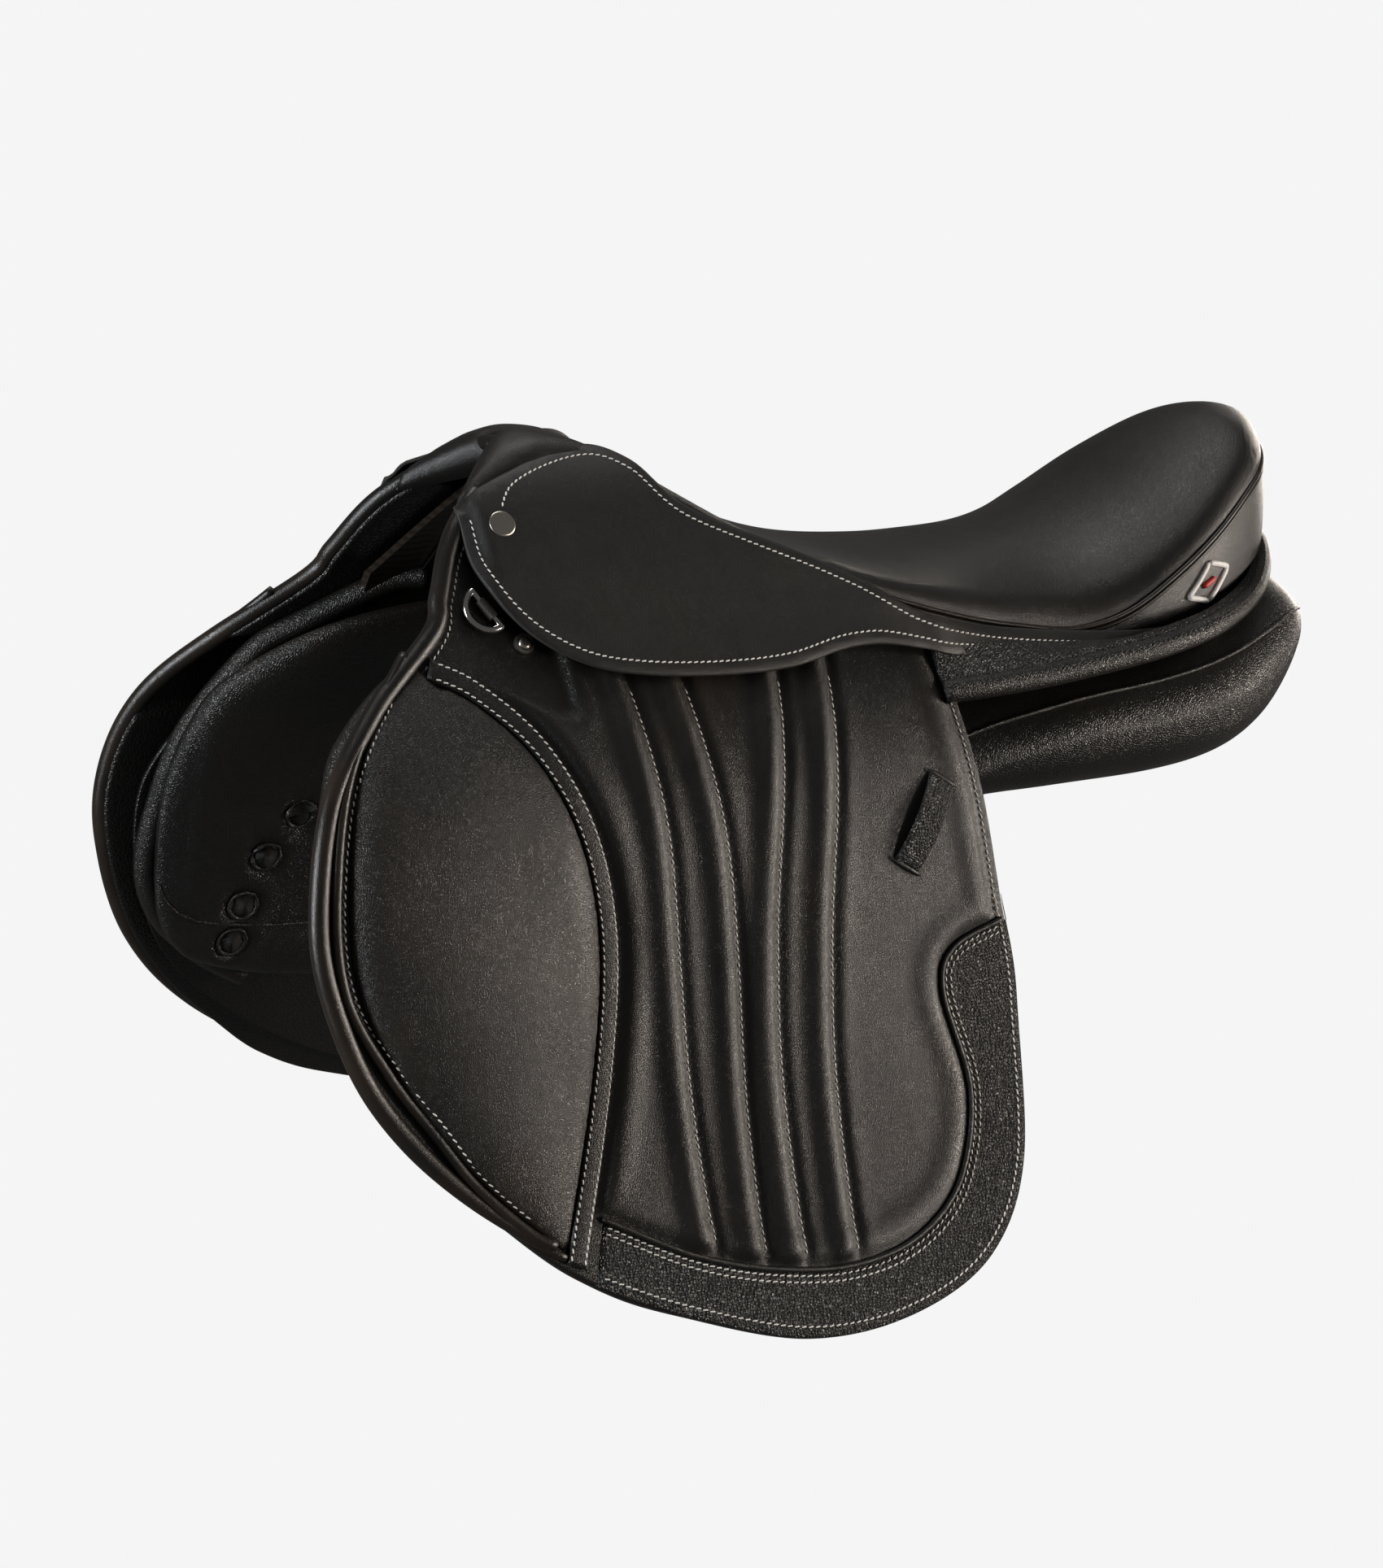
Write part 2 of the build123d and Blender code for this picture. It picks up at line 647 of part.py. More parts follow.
write("near_panel", panel(1))
write("off_panel", panel(-1))
write("tree_head", tree_head())
write("gullet_plate", gullet_plate())
write("tree_cantle", tree_cantle())
write("tree_rivets", tree_rivets())
write("seat_foam", seat_foam())
write("seat_cover", seat_cover())
write("seat_webs", seat_webs())
write("spring_steels", spring_steels())
write("pommel_cover", pommel_cover())
write("cantle_facing", cantle_facing())
write("cup_washers", pair(cup_washer()))
write("flap_screws", pair(flap_screw()))
write("bar_rivets", Compound(children=[*pair(bar_rivet(-30)).children, *pair(bar_rivet(30)).children]))
write("girth_webs", Compound(children=[
    web for centre in STRAP_CENTRES for web in (girth_web(centre), mirrored(girth_web(centre)))]))
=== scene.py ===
"""English jumping saddle in black leather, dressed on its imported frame; sizes are millimetres."""
import math

import bpy
import numpy as np
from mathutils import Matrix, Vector
from mathutils.geometry import delaunay_2d_cdt


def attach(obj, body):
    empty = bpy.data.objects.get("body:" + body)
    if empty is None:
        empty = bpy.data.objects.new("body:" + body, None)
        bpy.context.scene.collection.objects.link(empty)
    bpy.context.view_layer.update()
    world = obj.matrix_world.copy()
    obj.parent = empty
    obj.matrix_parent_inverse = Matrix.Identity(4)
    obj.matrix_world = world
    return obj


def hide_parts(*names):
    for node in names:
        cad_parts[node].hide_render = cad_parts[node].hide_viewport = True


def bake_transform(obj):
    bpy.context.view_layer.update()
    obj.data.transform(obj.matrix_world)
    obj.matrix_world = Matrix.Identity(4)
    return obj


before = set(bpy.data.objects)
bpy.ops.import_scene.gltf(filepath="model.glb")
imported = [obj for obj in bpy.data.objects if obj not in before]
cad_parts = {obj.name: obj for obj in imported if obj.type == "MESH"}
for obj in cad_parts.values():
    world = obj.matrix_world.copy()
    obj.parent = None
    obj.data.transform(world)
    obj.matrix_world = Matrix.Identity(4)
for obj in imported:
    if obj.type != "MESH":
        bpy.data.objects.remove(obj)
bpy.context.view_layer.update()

# ---- Flaps -----------------------------------------------------------------------------------
# Each flap is one hide of grained calf over thin foam, cut to a deep forward curve and
# quilted in four upright lines. It hangs from the head and bends just under the skirt.
MM = 0.001
SIDES = {"near": -1, "off": 1}
SIDE_CURVE = [(0, 175), (34, 150), (57, 120), (84, 80), (115, 40), (134, 0), (147, -60),
              (163, -120), (190, -180), (236, -262)]
FRONT_TOP = [(-180, 175), (-222, 143), (-241, 114), (-249, 100)]
FLAP_EDGE = [(-249, 100), (-291, 69), (-323, 36), (-338, -6), (-338, -48), (-320, -103),
             (-280, -153), (-223, -195), (-178, -215), (-118, -233), (-60, -232), (-9, -213),
             (22, -172), (34, -100), (31, -51), (24, 30), (22, 62)]
FLAP_TOP = [(22, 62), (22, 74), (-36, 88), (-100, 112), (-150, 142), (-176, 150), (-196, 158)]
BAND_OUTER = [(-250, 87), (-229, 75), (-204, 48), (-188, 8), (-183, -42), (-190, -90),
              (-203, -134), (-226, -188)]
BORDER_INNER = [(-213, -168), (-170, -190), (-130, -202), (-87, -207), (-48, -200), (-18, -179),
                (-2, -140), (-9, -92), (0, -73), (29, -63)]
QUILT_LINES = [
    [(-153, 72), (-151, -27), (-158, -192)],
    [(-124, 70), (-120, -51), (-133, -200)],
    [(-71, 68), (-95, -35), (-112, -205)],
    [(-43, 68), (-65, -39), (-84, -207)],
]
FLAP_BACK = -6.0
FOLD_BACK = -1.6        # the flap is pared thin where it folds
PUFF = 2.6              # how far the quilted face stands over the flat cut
GROOVE_DEEP, GROOVE_WIDE = 1.9, 2.8
ROLL_DEEP, ROLL_AHEAD, ROLL_WIDE = 3.2, 8.0, 6.5    # the ridge in front of each sewn groove
EDGE_RADIUS = 1.8
ROLL_RADIUS = 5.0
ROLL_TOP_POINTS = 12    # points of the edge curve that the head of the front roll covers
GRID = 2.6              # spacing of the points inside a cut shape


def even(rows, step):
    """The same line with its points an even step apart."""
    run = np.r_[0, np.cumsum(np.linalg.norm(np.diff(rows, axis=0), axis=1))]
    at = np.linspace(0, run[-1], max(2, int(round(run[-1] / step)) + 1))
    return np.stack([np.interp(at, run, rows[:, k]) for k in range(rows.shape[1])], axis=1)


def smooth_line(points, step=2.5):
    """Even points on a smooth curve through a few chosen ones."""
    points = np.array(points, float)
    ends = np.vstack([2 * points[0] - points[1], points, 2 * points[-1] - points[-2]])
    rows = []
    for a, b, c, d in zip(ends, ends[1:], ends[2:], ends[3:]):
        for t in np.linspace(0, 1, 24, endpoint=False):
            rows.append(b + 0.5 * t * (c - a + t * (2 * a - 5 * b + 4 * c - d
                                                    + t * (3 * b - a - 3 * c + d))))
    rows.append(points[-1])
    return even(np.array(rows), step)


side_line = smooth_line(SIDE_CURVE, 1.0)[::-1]


def half_width(z):
    """Half width of the saddle over the flap's face at a height."""
    return np.interp(z, side_line[:, 1], side_line[:, 0])


def on_side(flat, lift, side):
    """Flat (x, z) points laid on the curved side of the saddle, raised by lift."""
    x, z = flat[:, 0], flat[:, 1]
    slope = (half_width(z + 4) - half_width(z - 4)) / 8
    root = np.sqrt(1 + slope ** 2)
    return np.stack([x, side * (half_width(z) + lift / root), z - slope * lift / root], axis=1)


def reach(points, line):
    """Distance from each point to a line, positive on the left of its travel."""
    best = np.full(len(points), 1e9)
    for a, b in zip(line, line[1:]):
        along = b - a
        share = np.clip((points - a) @ along / (along @ along), 0, 1)
        off = points - a - share[:, None] * along
        gap = np.hypot(off[:, 0], off[:, 1])
        turn = np.where(along[0] * off[:, 1] - along[1] * off[:, 0] < 0, -1.0, 1.0)
        best = np.where(gap < np.abs(best), gap * turn, best)
    return best


def inside(points, loop):
    """Which points lie inside a closed outline."""
    within = np.zeros(len(points), bool)
    for a, b in zip(loop, np.roll(loop, -1, axis=0)):
        if a[1] == b[1]:
            continue
        crosses = (a[1] > points[:, 1]) != (b[1] > points[:, 1])
        x = a[0] + (points[:, 1] - a[1]) * (b[0] - a[0]) / (b[1] - a[1])
        within ^= crosses & (points[:, 0] < x)
    return within


def moved(line, distance):
    """A line moved sideways, to the left of its travel."""
    way = np.gradient(line, axis=0)
    way /= np.linalg.norm(way, axis=1)[:, None] + 1e-9
    return line + distance * np.stack([-way[:, 1], way[:, 0]], axis=1)


def closed(loop):
    """An outline with its first point repeated at its end."""
    return np.vstack([loop, loop[:1]])


def ease(values):
    """A smooth step from 0 to 1."""
    values = np.clip(values, 0, 1)
    return values * values * (3 - 2 * values)


def bell(values, width):
    """A smooth bump that is 1 at 0 and dies away over a width."""
    return np.exp(-(values / width) ** 2)


def cut_out(loop, step, rings=(0.7, 1.8)):
    """Triangles that fill an outline, with close rings of points along its edge."""
    low, high = loop.min(axis=0), loop.max(axis=0)
    xs, zs = np.arange(low[0], high[0], step), np.arange(low[1], high[1], step * 0.87)
    grid = np.array([(x + (row % 2) * step / 2, z) for row, z in enumerate(zs) for x in xs])
    grid = grid[inside(grid, loop)]
    grid = grid[np.abs(reach(grid, closed(loop))) > rings[-1] + step * 0.5]
    points = [loop]
    for ring in rings:
        for way in (1, -1):
            near = moved(loop, ring * way)[2:-2]
            near = near[inside(near, loop)]
            near = near[np.abs(reach(near, closed(loop))) > ring * 0.9]
            points.append(near)
    points.append(grid)
    flat = np.vstack(points)
    edge = [list(range(len(loop)))]
    made = delaunay_2d_cdt([Vector(p) for p in flat], [], edge, 1, 1e-4)
    return np.array([tuple(p) for p in made[0]]), [list(face) for face in made[2]]


def piece(name, points, faces, finish):
    """A Blender mesh from millimetre points, shaded smooth."""
    mesh = bpy.data.meshes.new(name)
    mesh.from_pydata([tuple(p) for p in np.asarray(points) * MM], [], faces)
    mesh.validate()
    mesh.shade_smooth()
    made = bpy.data.objects.new(name, mesh)
    bpy.context.scene.collection.objects.link(made)
    mesh.materials.append(finish)
    return made


def slab(name, flat, faces, front, back, finish):
    """A sheet of leather between a front and a back face, closed round its edge."""
    count = len(flat)
    flip = np.sum([np.cross(front[b] - front[a], front[c] - front[a]) * np.sign(front[a][1])
                   for a, b, c in faces[::7]], axis=0)[1] < 0
    skins = [face[::-1] if flip else face for face in faces]
    sides = {}
    for face in skins:
        for a, b in zip(face, face[1:] + face[:1]):
            sides[(a, b)] = sides.get((a, b), 0) + 1
    rim = [(a, b) for a, b in sides if (b, a) not in sides]
    walls = [[b, a, a + count, b + count] for a, b in rim]
    backs = [[v + count for v in face[::-1]] for face in skins]
    return piece(name, np.vstack([front, back]), skins + backs + walls, finish)


def sheet(name, flat, faces, front_lift, back_lift, side, finish):
    """A slab laid on the side of the saddle between two heights."""
    return slab(name, flat, faces, on_side(flat, front_lift, side),
                on_side(flat, back_lift, side), finish)


def swell(flat, faces, rounds):
    """How an outline fills when it is blown up: 0 at its edge and 1 at its fullest."""
    sides = {}
    for face in faces:
        for a, b in zip(face, face[1:] + face[:1]):
            key = (min(a, b), max(a, b))
            sides[key] = sides.get(key, 0) + 1
    pairs = np.array(list(sides))
    rim = np.unique(pairs[np.array(list(sides.values())) == 1])
    gap = np.linalg.norm(flat[pairs[:, 0]] - flat[pairs[:, 1]], axis=1)
    weight = np.ones(len(pairs)) / gap
    total = np.bincount(pairs.ravel(), np.repeat(weight, 2), len(flat))
    source = np.bincount(pairs.ravel(), np.repeat(gap, 2), len(flat))
    level = np.zeros(len(flat))
    for _ in range(rounds):
        pull = np.bincount(pairs[:, 0], weight * level[pairs[:, 1]], len(flat))
        pull += np.bincount(pairs[:, 1], weight * level[pairs[:, 0]], len(flat))
        level = (pull + source) / total
        level[rim] = 0
    return level / level.max()


class Wire:
    """A shader socket that can be added to, multiplied and so on in a line of Python."""

    def __init__(self, finish, socket):
        self.finish = finish
        self.socket = socket

    def sum(self, operation, first, second):
        """A Math node on two values."""
        return self.finish.add("Math", {"operation": operation}, {0: first, 1: second}, "Value")

    def __add__(self, other):
        return self.sum("ADD", self, other)

    def __sub__(self, other):
        return self.sum("SUBTRACT", self, other)

    def __rsub__(self, other):
        return self.sum("SUBTRACT", other, self)

    def __mul__(self, other):
        return self.sum("MULTIPLY", self, other)

    def __gt__(self, other):
        return self.sum("GREATER_THAN", self, other)

    __radd__ = __add__
    __rmul__ = __mul__


COLOUR_LOW, COLOUR_HIGH, COLOUR_OUT = 6, 7, 2   # the colour sockets of a Mix node


class Finish:
    """A material that is built up node by node round one Principled shader."""

    def __init__(self, name, **even_values):
        self.material = bpy.data.materials.new(name)
        self.material.use_nodes = True
        self.tree = self.material.node_tree
        self.shader = self.tree.nodes["Principled BSDF"]
        for socket, value in even_values.items():
            self.shader.inputs[socket.replace("_", " ")].default_value = value

    def add(self, kind, settings, inputs, output):
        """A new node, with its settings made before its sockets are fed."""
        node = self.tree.nodes.new("ShaderNode" + kind)
        for name, value in settings.items():
            if name == "stops":
                ramp = node.color_ramp
                ramp.elements[0].position, ramp.elements[1].position = value
            else:
                setattr(node, name, value)
        for name, value in inputs.items():
            self.feed(node.inputs[name], value)
        return Wire(self, node.outputs[output])

    def feed(self, socket, value):
        """Link a socket to a wire, or give it a plain value."""
        if isinstance(value, Wire):
            self.tree.links.new(value.socket, socket)
        else:
            socket.default_value = value

    def place(self):
        """Places on the object, in metres."""
        return self.add("TexCoord", {}, {}, "Object")

    def mix(self, share, low, high):
        """A colour between two others."""
        return self.add("Mix", {"data_type": "RGBA"},
                        {0: share, COLOUR_LOW: low, COLOUR_HIGH: high}, COLOUR_OUT)

    def noise(self, scale, detail=3.0, warp=0.0):
        """Soft mottling, with a scale in cells to the metre."""
        return self.add("TexNoise", {}, {"Vector": self.place(), "Scale": scale,
                                         "Detail": detail, "Distortion": warp}, "Fac")

    def cells(self, scale):
        """Distance to the nearest edge of a pattern of cells."""
        return self.add("TexVoronoi", {"feature": "DISTANCE_TO_EDGE"},
                        {"Vector": self.place(), "Scale": scale}, "Distance")

    def ramp(self, value, low, high):
        """A value spread over 0 to 1 between two levels."""
        return self.add("ValToRGB", {"stops": (low, high)}, {"Fac": value}, "Color")

    def bump(self, height, depth):
        """Fine relief, with its depth in millimetres."""
        return self.add("Bump", {}, {"Height": height, "Distance": depth * MM,
                                     "Strength": 1.0}, "Normal")

    def done(self, **links):
        """Feed the shader and hand back the finished material."""
        for socket, wire in links.items():
            self.feed(self.shader.inputs[socket.replace("_", " ")], wire)
        return self.material


def colour(red, green, blue):
    """A solid colour in linear light."""
    return (red, green, blue, 1.0)


def mottled(name, low, high, scale, roughness, detail=2, depth=0.0):
    """A matt finish mottled between two tones, with relief where a depth is given."""
    made = Finish(name, Roughness=roughness)
    grain = made.noise(scale, detail)
    relief = {"Normal": made.bump(grain, depth)} if depth else {}
    return made.done(Base_Color=made.mix(grain, low, high), **relief)


def calf(name, dark, worn, roughness, grain, depth):
    """Finished calf: fine pores and creases, with browner, shinier patches where it is rubbed."""
    hide = Finish(name, Specular_IOR_Level=0.45)
    rubbed = hide.ramp(hide.noise(13, 5, 0.6), 0.42, 0.72)
    pores = hide.ramp(hide.cells(1 / (grain * MM)), 0.0, 0.22)
    creases = hide.noise(420, 6, 1.4)
    shade = hide.mix(rubbed, dark, worn)
    rough = hide.noise(90, 4) * 0.14 + (roughness - 0.07) - rubbed * 0.05
    height = pores * 0.45 + creases * 0.55
    return hide.done(Base_Color=shade, Roughness=rough, Normal=hide.bump(height, depth))


flap_calf = calf("black_calf", colour(0.0052, 0.0047, 0.0043), colour(0.0125, 0.0098, 0.0075),
                 0.36, 0.9, 0.16)
flap_edge = smooth_line(FRONT_TOP + FLAP_EDGE[1:])
flap_outline = np.vstack([
    flap_edge[ROLL_TOP_POINTS:-1],
    even(np.array(FLAP_TOP, float), 3.0),
])
roll_share = ease((flap_outline[:, 1] + 190) / 30) * ease((-flap_outline[:, 0] - 150) / 40)
flap_outline = moved(flap_outline, 4.0) * roll_share[:, None] + flap_outline * (
    1 - roll_share[:, None])
flap_flat, flap_faces = cut_out(flap_outline, GRID)
band_line = smooth_line(BAND_OUTER)
border_line = smooth_line(BORDER_INNER)
quilt_lines = [smooth_line(line) for line in QUILT_LINES]
rear_line = smooth_line(FLAP_EDGE[-5:])
quilt_loop = np.vstack([border_line, [(60, -63), (60, 200), (-180, 200), (-187, 60)],
                        band_line[3:-6]])


def flap_face(flat):
    """Height of the flap's padded and quilted face over its flat cut."""
    within = np.where(inside(flat, quilt_loop), np.abs(reach(flat, closed(quilt_loop))), 0)
    rear = np.where(flat[:, 1] > -75, np.abs(reach(flat, rear_line)), 99)
    within = np.minimum(within, np.clip(rear - 6, 0, 99))
    height = PUFF * ease(within / 7) + bell(within - 10, 6)
    held = ease(within / 6)
    for line in quilt_lines:
        gap = reach(flat, line)
        ahead, behind = ease((1.5 - gap) / 3), ease((gap + 1.5) / 3)
        height = height - GROOVE_DEEP * held * bell(gap, GROOVE_WIDE)
        height = height + ROLL_DEEP * held * ahead * bell(gap + ROLL_AHEAD, ROLL_WIDE)
        height = height + 0.3 * held * behind * bell(gap - 6, 5.0)
    return height


edge_gap = np.abs(reach(flap_flat, closed(flap_outline)))
edge_turn = 1 - np.clip(edge_gap / EDGE_RADIUS, 0, 1)
edge_round = 1.4 * (1 - np.sqrt(np.clip(1 - edge_turn ** 2, 0, 1)))
grained_calf = calf("grained_calf", colour(0.0045, 0.0042, 0.0040), colour(0.009, 0.0078, 0.0066),
                    0.36, 2.2, 0.42)


def bend_with_flap(made):
    """Bakes a piece's placement into its points."""
    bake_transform(made)


pared = ease((72 - flap_flat[:, 1]) / 8) * ease((flap_flat[:, 1] - 24) / 8)
lining_lift = FLAP_BACK + (FOLD_BACK - FLAP_BACK) * pared + edge_round * (1 - pared)
for tag, side in SIDES.items():
    made = sheet(f"{tag}_flap_leather", flap_flat, flap_faces, flap_face(flap_flat) - edge_round,
                 lining_lift, side, flap_calf)
    made.data.materials.append(grained_calf)
    for polygon in made.data.polygons[len(flap_faces):]:
        polygon.material_index = 1
    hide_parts(f"{tag}_flap", f"{tag}_flap_upper")
    bend_with_flap(made)

# ---- Front rolls and piping ------------------------------------------------------------------
# A cord wrapped in the flap's own calf makes a fat roll from the head down past the pad.
# A thinner piping lies just inside it, sewn down through both edges.
INNER_PIPING = [(-263, 89), (-307, 44), (-325, -3), (-326, -51), (-309, -90), (-290, -120),
                (-274, -145), (-252, -168), (-240, -176)]
ROLL_LIFT = 0.6
PIPING_LIFT = 2.4
PIPING_RADIUS = 2.7


def tube(name, path, radius, finish, sides=12):
    """A round cord of leather along a path, with closed ends."""
    path = np.asarray(path, float)
    radius = np.broadcast_to(np.asarray(radius, float), (len(path),))
    way = np.gradient(path, axis=0)
    way /= np.linalg.norm(way, axis=1)[:, None]
    up = np.cross(way[0], (0.0, 0.0, 1.0) if abs(way[0][2]) < 0.9 else (1.0, 0.0, 0.0))
    rings = []
    for spot, along, size in zip(path, way, radius):
        up = up - along * (up @ along)
        up /= np.linalg.norm(up)
        across = np.cross(along, up)
        turns = np.linspace(0, math.tau, sides, endpoint=False)
        rings.append(spot + size * (np.cos(turns)[:, None] * up
                                    + np.sin(turns)[:, None] * across))
    return piece(name, np.vstack(rings), ring_faces(len(path), sides), finish)


def ring_faces(count, sides, caps=True):
    """Faces that skin a stack of rings, and close its two ends."""
    faces = []
    for row in range(count - 1):
        for k in range(sides):
            a, b = row * sides + k, row * sides + (k + 1) % sides
            faces.append([a, b, b + sides, a + sides])
    if caps:
        faces.append(list(range(sides))[::-1])
        faces.append([(count - 1) * sides + k for k in range(sides)])
    return faces


def join(name, parts):
    """Several meshes of one piece made into one object."""
    points, faces, shades, finishes = [], [], [], []
    for part in parts:
        start = len(points)
        finish = part.data.materials[0]
        if finish not in finishes:
            finishes.append(finish)
        points += [tuple(v.co / MM) for v in part.data.vertices]
        for polygon in part.data.polygons:
            faces.append([start + v for v in polygon.vertices])
            shades.append(finishes.index(finish))
        bpy.data.objects.remove(part)
    made = piece(name, np.array(points), faces, finishes[0])
    for finish in finishes[1:]:
        made.data.materials.append(finish)
    for polygon, shade in zip(made.data.polygons, shades):
        polygon.material_index = shade
    return made


roll_calf = calf("rubbed_roll_calf", colour(0.0060, 0.0052, 0.0045), colour(0.024, 0.017, 0.012),
                 0.32, 0.8, 0.08)
roll_edge = smooth_line(FRONT_TOP + FLAP_EDGE[1:], 3)
roll_edge = roll_edge[:np.argmax((roll_edge[:, 1] < -186) & (roll_edge[:, 0] < -200))]
roll_middle = moved(roll_edge, ROLL_RADIUS - 0.4)
roll_size = ROLL_RADIUS * (1 - 0.55 * ease((-roll_middle[:, 1] - 120) / 66))
roll_size = roll_size * (0.80 + 0.20 * ease((175 - roll_middle[:, 1]) / 40))
piping = smooth_line(INNER_PIPING, 3)
for tag, side in SIDES.items():
    made = join(f"{tag}_roll_leather", [
        tube("roll", on_side(roll_middle, ROLL_LIFT, side), roll_size, roll_calf, 16),
        tube("piping", on_side(piping, PIPING_LIFT, side), PIPING_RADIUS, roll_calf)])
    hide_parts(f"{tag}_front_roll", f"{tag}_front_roll_upper")
    bend_with_flap(made)

# ---- Knee pads -------------------------------------------------------------------------------
# A shaped block of foam under soft calf fills the front of each flap, with its edge sunk
# between the piping and the band. The calf has creased a little over the fullest part.
PAD_FRONT = [(-258, 85), (-296, 53), (-316, 6), (-319, -50), (-297, -108), (-266, -150),
             (-236, -178)]
PAD_TOP = 16.0
PAD_EDGE = 0.6
PAD_BACK = 0.3
PAD_ROUNDS = 2400
BAND_WIDTH = 11.0
pad_front = smooth_line(PAD_FRONT)
pad_rear = moved(band_line, -(BAND_WIDTH - 0.5))[2:-3]
pad_outline = np.vstack([pad_front, pad_rear[::-1]])
pad_flat, pad_faces = cut_out(pad_outline, GRID)
pad_fill = swell(pad_flat, pad_faces, PAD_ROUNDS)
pad_lift = PAD_EDGE + PAD_TOP * pad_fill ** 0.55 * (0.75 + 0.25 * ease((60 - pad_flat[:, 1]) / 120))
pad_calf = calf("soft_pad_calf", colour(0.0065, 0.0056, 0.0048), colour(0.022, 0.0165, 0.012),
                0.35, 0.8, 0.2)
for tag, side in SIDES.items():
    made = sheet(f"{tag}_knee_pad_leather", pad_flat, pad_faces, pad_lift, PAD_BACK, side,
                 pad_calf)
    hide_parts(f"{tag}_knee_pad")
    bend_with_flap(made)

# ---- Pad bands -------------------------------------------------------------------------------
# A strip of calf covers the rear edge of each pad and is sewn down along both its edges.
# It runs from the head of the flap, beside the inner piping, to the flap's foot.
BAND_FACE = 2.8
BAND_CROWN = 0.4
BAND_BACK = 0.2
BAND_ROWS = 9
for tag, side in SIDES.items():
    rows = []
    for share in np.linspace(0, 1, BAND_ROWS):
        lift = BAND_BACK if share in (0.0, 1.0) else BAND_FACE + BAND_CROWN * math.sin(math.pi * share)
        rows.append(on_side(moved(band_line, -BAND_WIDTH * share), lift, side))
    made = piece(f"{tag}_band_leather", np.stack(rows, axis=1).reshape(-1, 3),
                 ring_faces(len(band_line), BAND_ROWS), flap_calf)
    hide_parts(f"{tag}_pad_band")
    bend_with_flap(made)

# ---- Flap borders ----------------------------------------------------------------------------
# Pebbled hide is let in round the foot and rear of each flap, below a fine piping, and
# takes two rows of thread along its inner edge and one near its cut edge.
pebble = Finish("pebbled_hide", Specular_IOR_Level=0.45)
# The pebble tone is painted shade: it is darker in the grooves between the pebbles, where the relief
# is low, than on their tops.
lumps = pebble.ramp(pebble.cells(1 / (1.5 * MM)), 0.02, 0.32)
fleck = pebble.noise(1 / (1.1 * MM), 0.0) > 0.70
pebble_tone_with_shade = pebble.mix(lumps, colour(0.0022, 0.0021, 0.0020), colour(0.0065, 0.0058, 0.0052))
pebble_tone_with_shade = pebble.mix(fleck * 0.5, pebble_tone_with_shade, colour(0.075, 0.070, 0.062))
border_hide = pebble.done(
    Base_Color=pebble_tone_with_shade,
    Roughness=0.50 - lumps * 0.16,
    Normal=pebble.bump(lumps + pebble.noise(600, 3) * 0.3, 0.5))
BORDER_FACE, BORDER_SUNK, BORDER_BACK = 0.9, -0.2, -0.6
LIP_LIFT, LIP_RADIUS = 1.2, 1.5
foot_line = smooth_line(FLAP_EDGE[7:15])
border_band = np.vstack([border_line, [(32.6, -64)], foot_line[::-1]])
border_flat, border_faces = cut_out(border_band, GRID)
border_edge = np.abs(reach(border_flat, closed(border_band)))
for tag, side in SIDES.items():
    face_lift = BORDER_FACE * ease(border_edge / 2.0) + BORDER_SUNK
    made = sheet("border", border_flat, border_faces, face_lift, BORDER_BACK, side, border_hide)
    lip = tube("lip", on_side(border_line, LIP_LIFT, side), LIP_RADIUS, flap_calf, 8)
    made = join(f"{tag}_border_leather", [made, lip])
    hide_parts(f"{tag}_flap_border")
    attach(made, f"{tag}_flap_body")

# ---- Keepers ---------------------------------------------------------------------------------
# A short pebbled loop on each flap holds the end of the stirrup leather. Its two ends go
# down through slots cut in the flap, and the calf puckers round them.
KEEPER_MIDDLE = np.array([-11.0, -11.0])
KEEPER_LONG = 47.0
KEEPER_WIDE = 15.0
KEEPER_RISE = 4.6
KEEPER_FOOT = 1.6
KEEPER_LEAN = math.radians(56)
KEEPER_SECTION = [  # place across the loop and height over its lining
    (0.0, 0.9), (0.04, 1.6), (0.1, 1.9), (0.5, 2.1), (0.9, 1.9), (0.96, 1.6), (1.0, 0.9),
    (0.96, 0), (0.5, 0), (0.04, 0),
]
SLOT_SIZES = [0.3, 1.1, 1.5, 1.6, 1.6, 1.6, 1.5, 1.1, 0.3]
SLOT_LIFT = 2.9
keeper_way = np.array([math.cos(KEEPER_LEAN), math.sin(KEEPER_LEAN)])
keeper_side = np.array([-keeper_way[1], keeper_way[0]])
for tag, side in SIDES.items():
    rows = []
    for share in np.linspace(0, 1, 25):
        arch = math.sin(math.pi * share) ** 0.6 * KEEPER_RISE
        spot = KEEPER_MIDDLE + keeper_way * (share - 0.5) * KEEPER_LONG
        flats = [spot + keeper_side * KEEPER_WIDE * (across - 0.5) for across, _ in KEEPER_SECTION]
        lifts = [arch + over for _, over in KEEPER_SECTION]
        rows.append(on_side(np.array(flats), np.array(lifts) + KEEPER_FOOT, side))
    parts = [piece("loop", np.vstack(rows), ring_faces(len(rows), len(KEEPER_SECTION)),
                   border_hide)]
    for end in (-1, 1):
        spot = KEEPER_MIDDLE + keeper_way * (end * KEEPER_LONG * 0.5)
        lips = np.array([spot + keeper_side * share * (KEEPER_WIDE * 0.5 + 2.5)
                         for share in np.linspace(-1, 1, len(SLOT_SIZES))])
        parts.append(tube("slot", on_side(lips, SLOT_LIFT, side), SLOT_SIZES, flap_calf, 8))
    made = join(f"{tag}_keeper_leather", parts)
    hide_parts(f"{tag}_leather_keeper")
    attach(made, f"{tag}_flap_body")

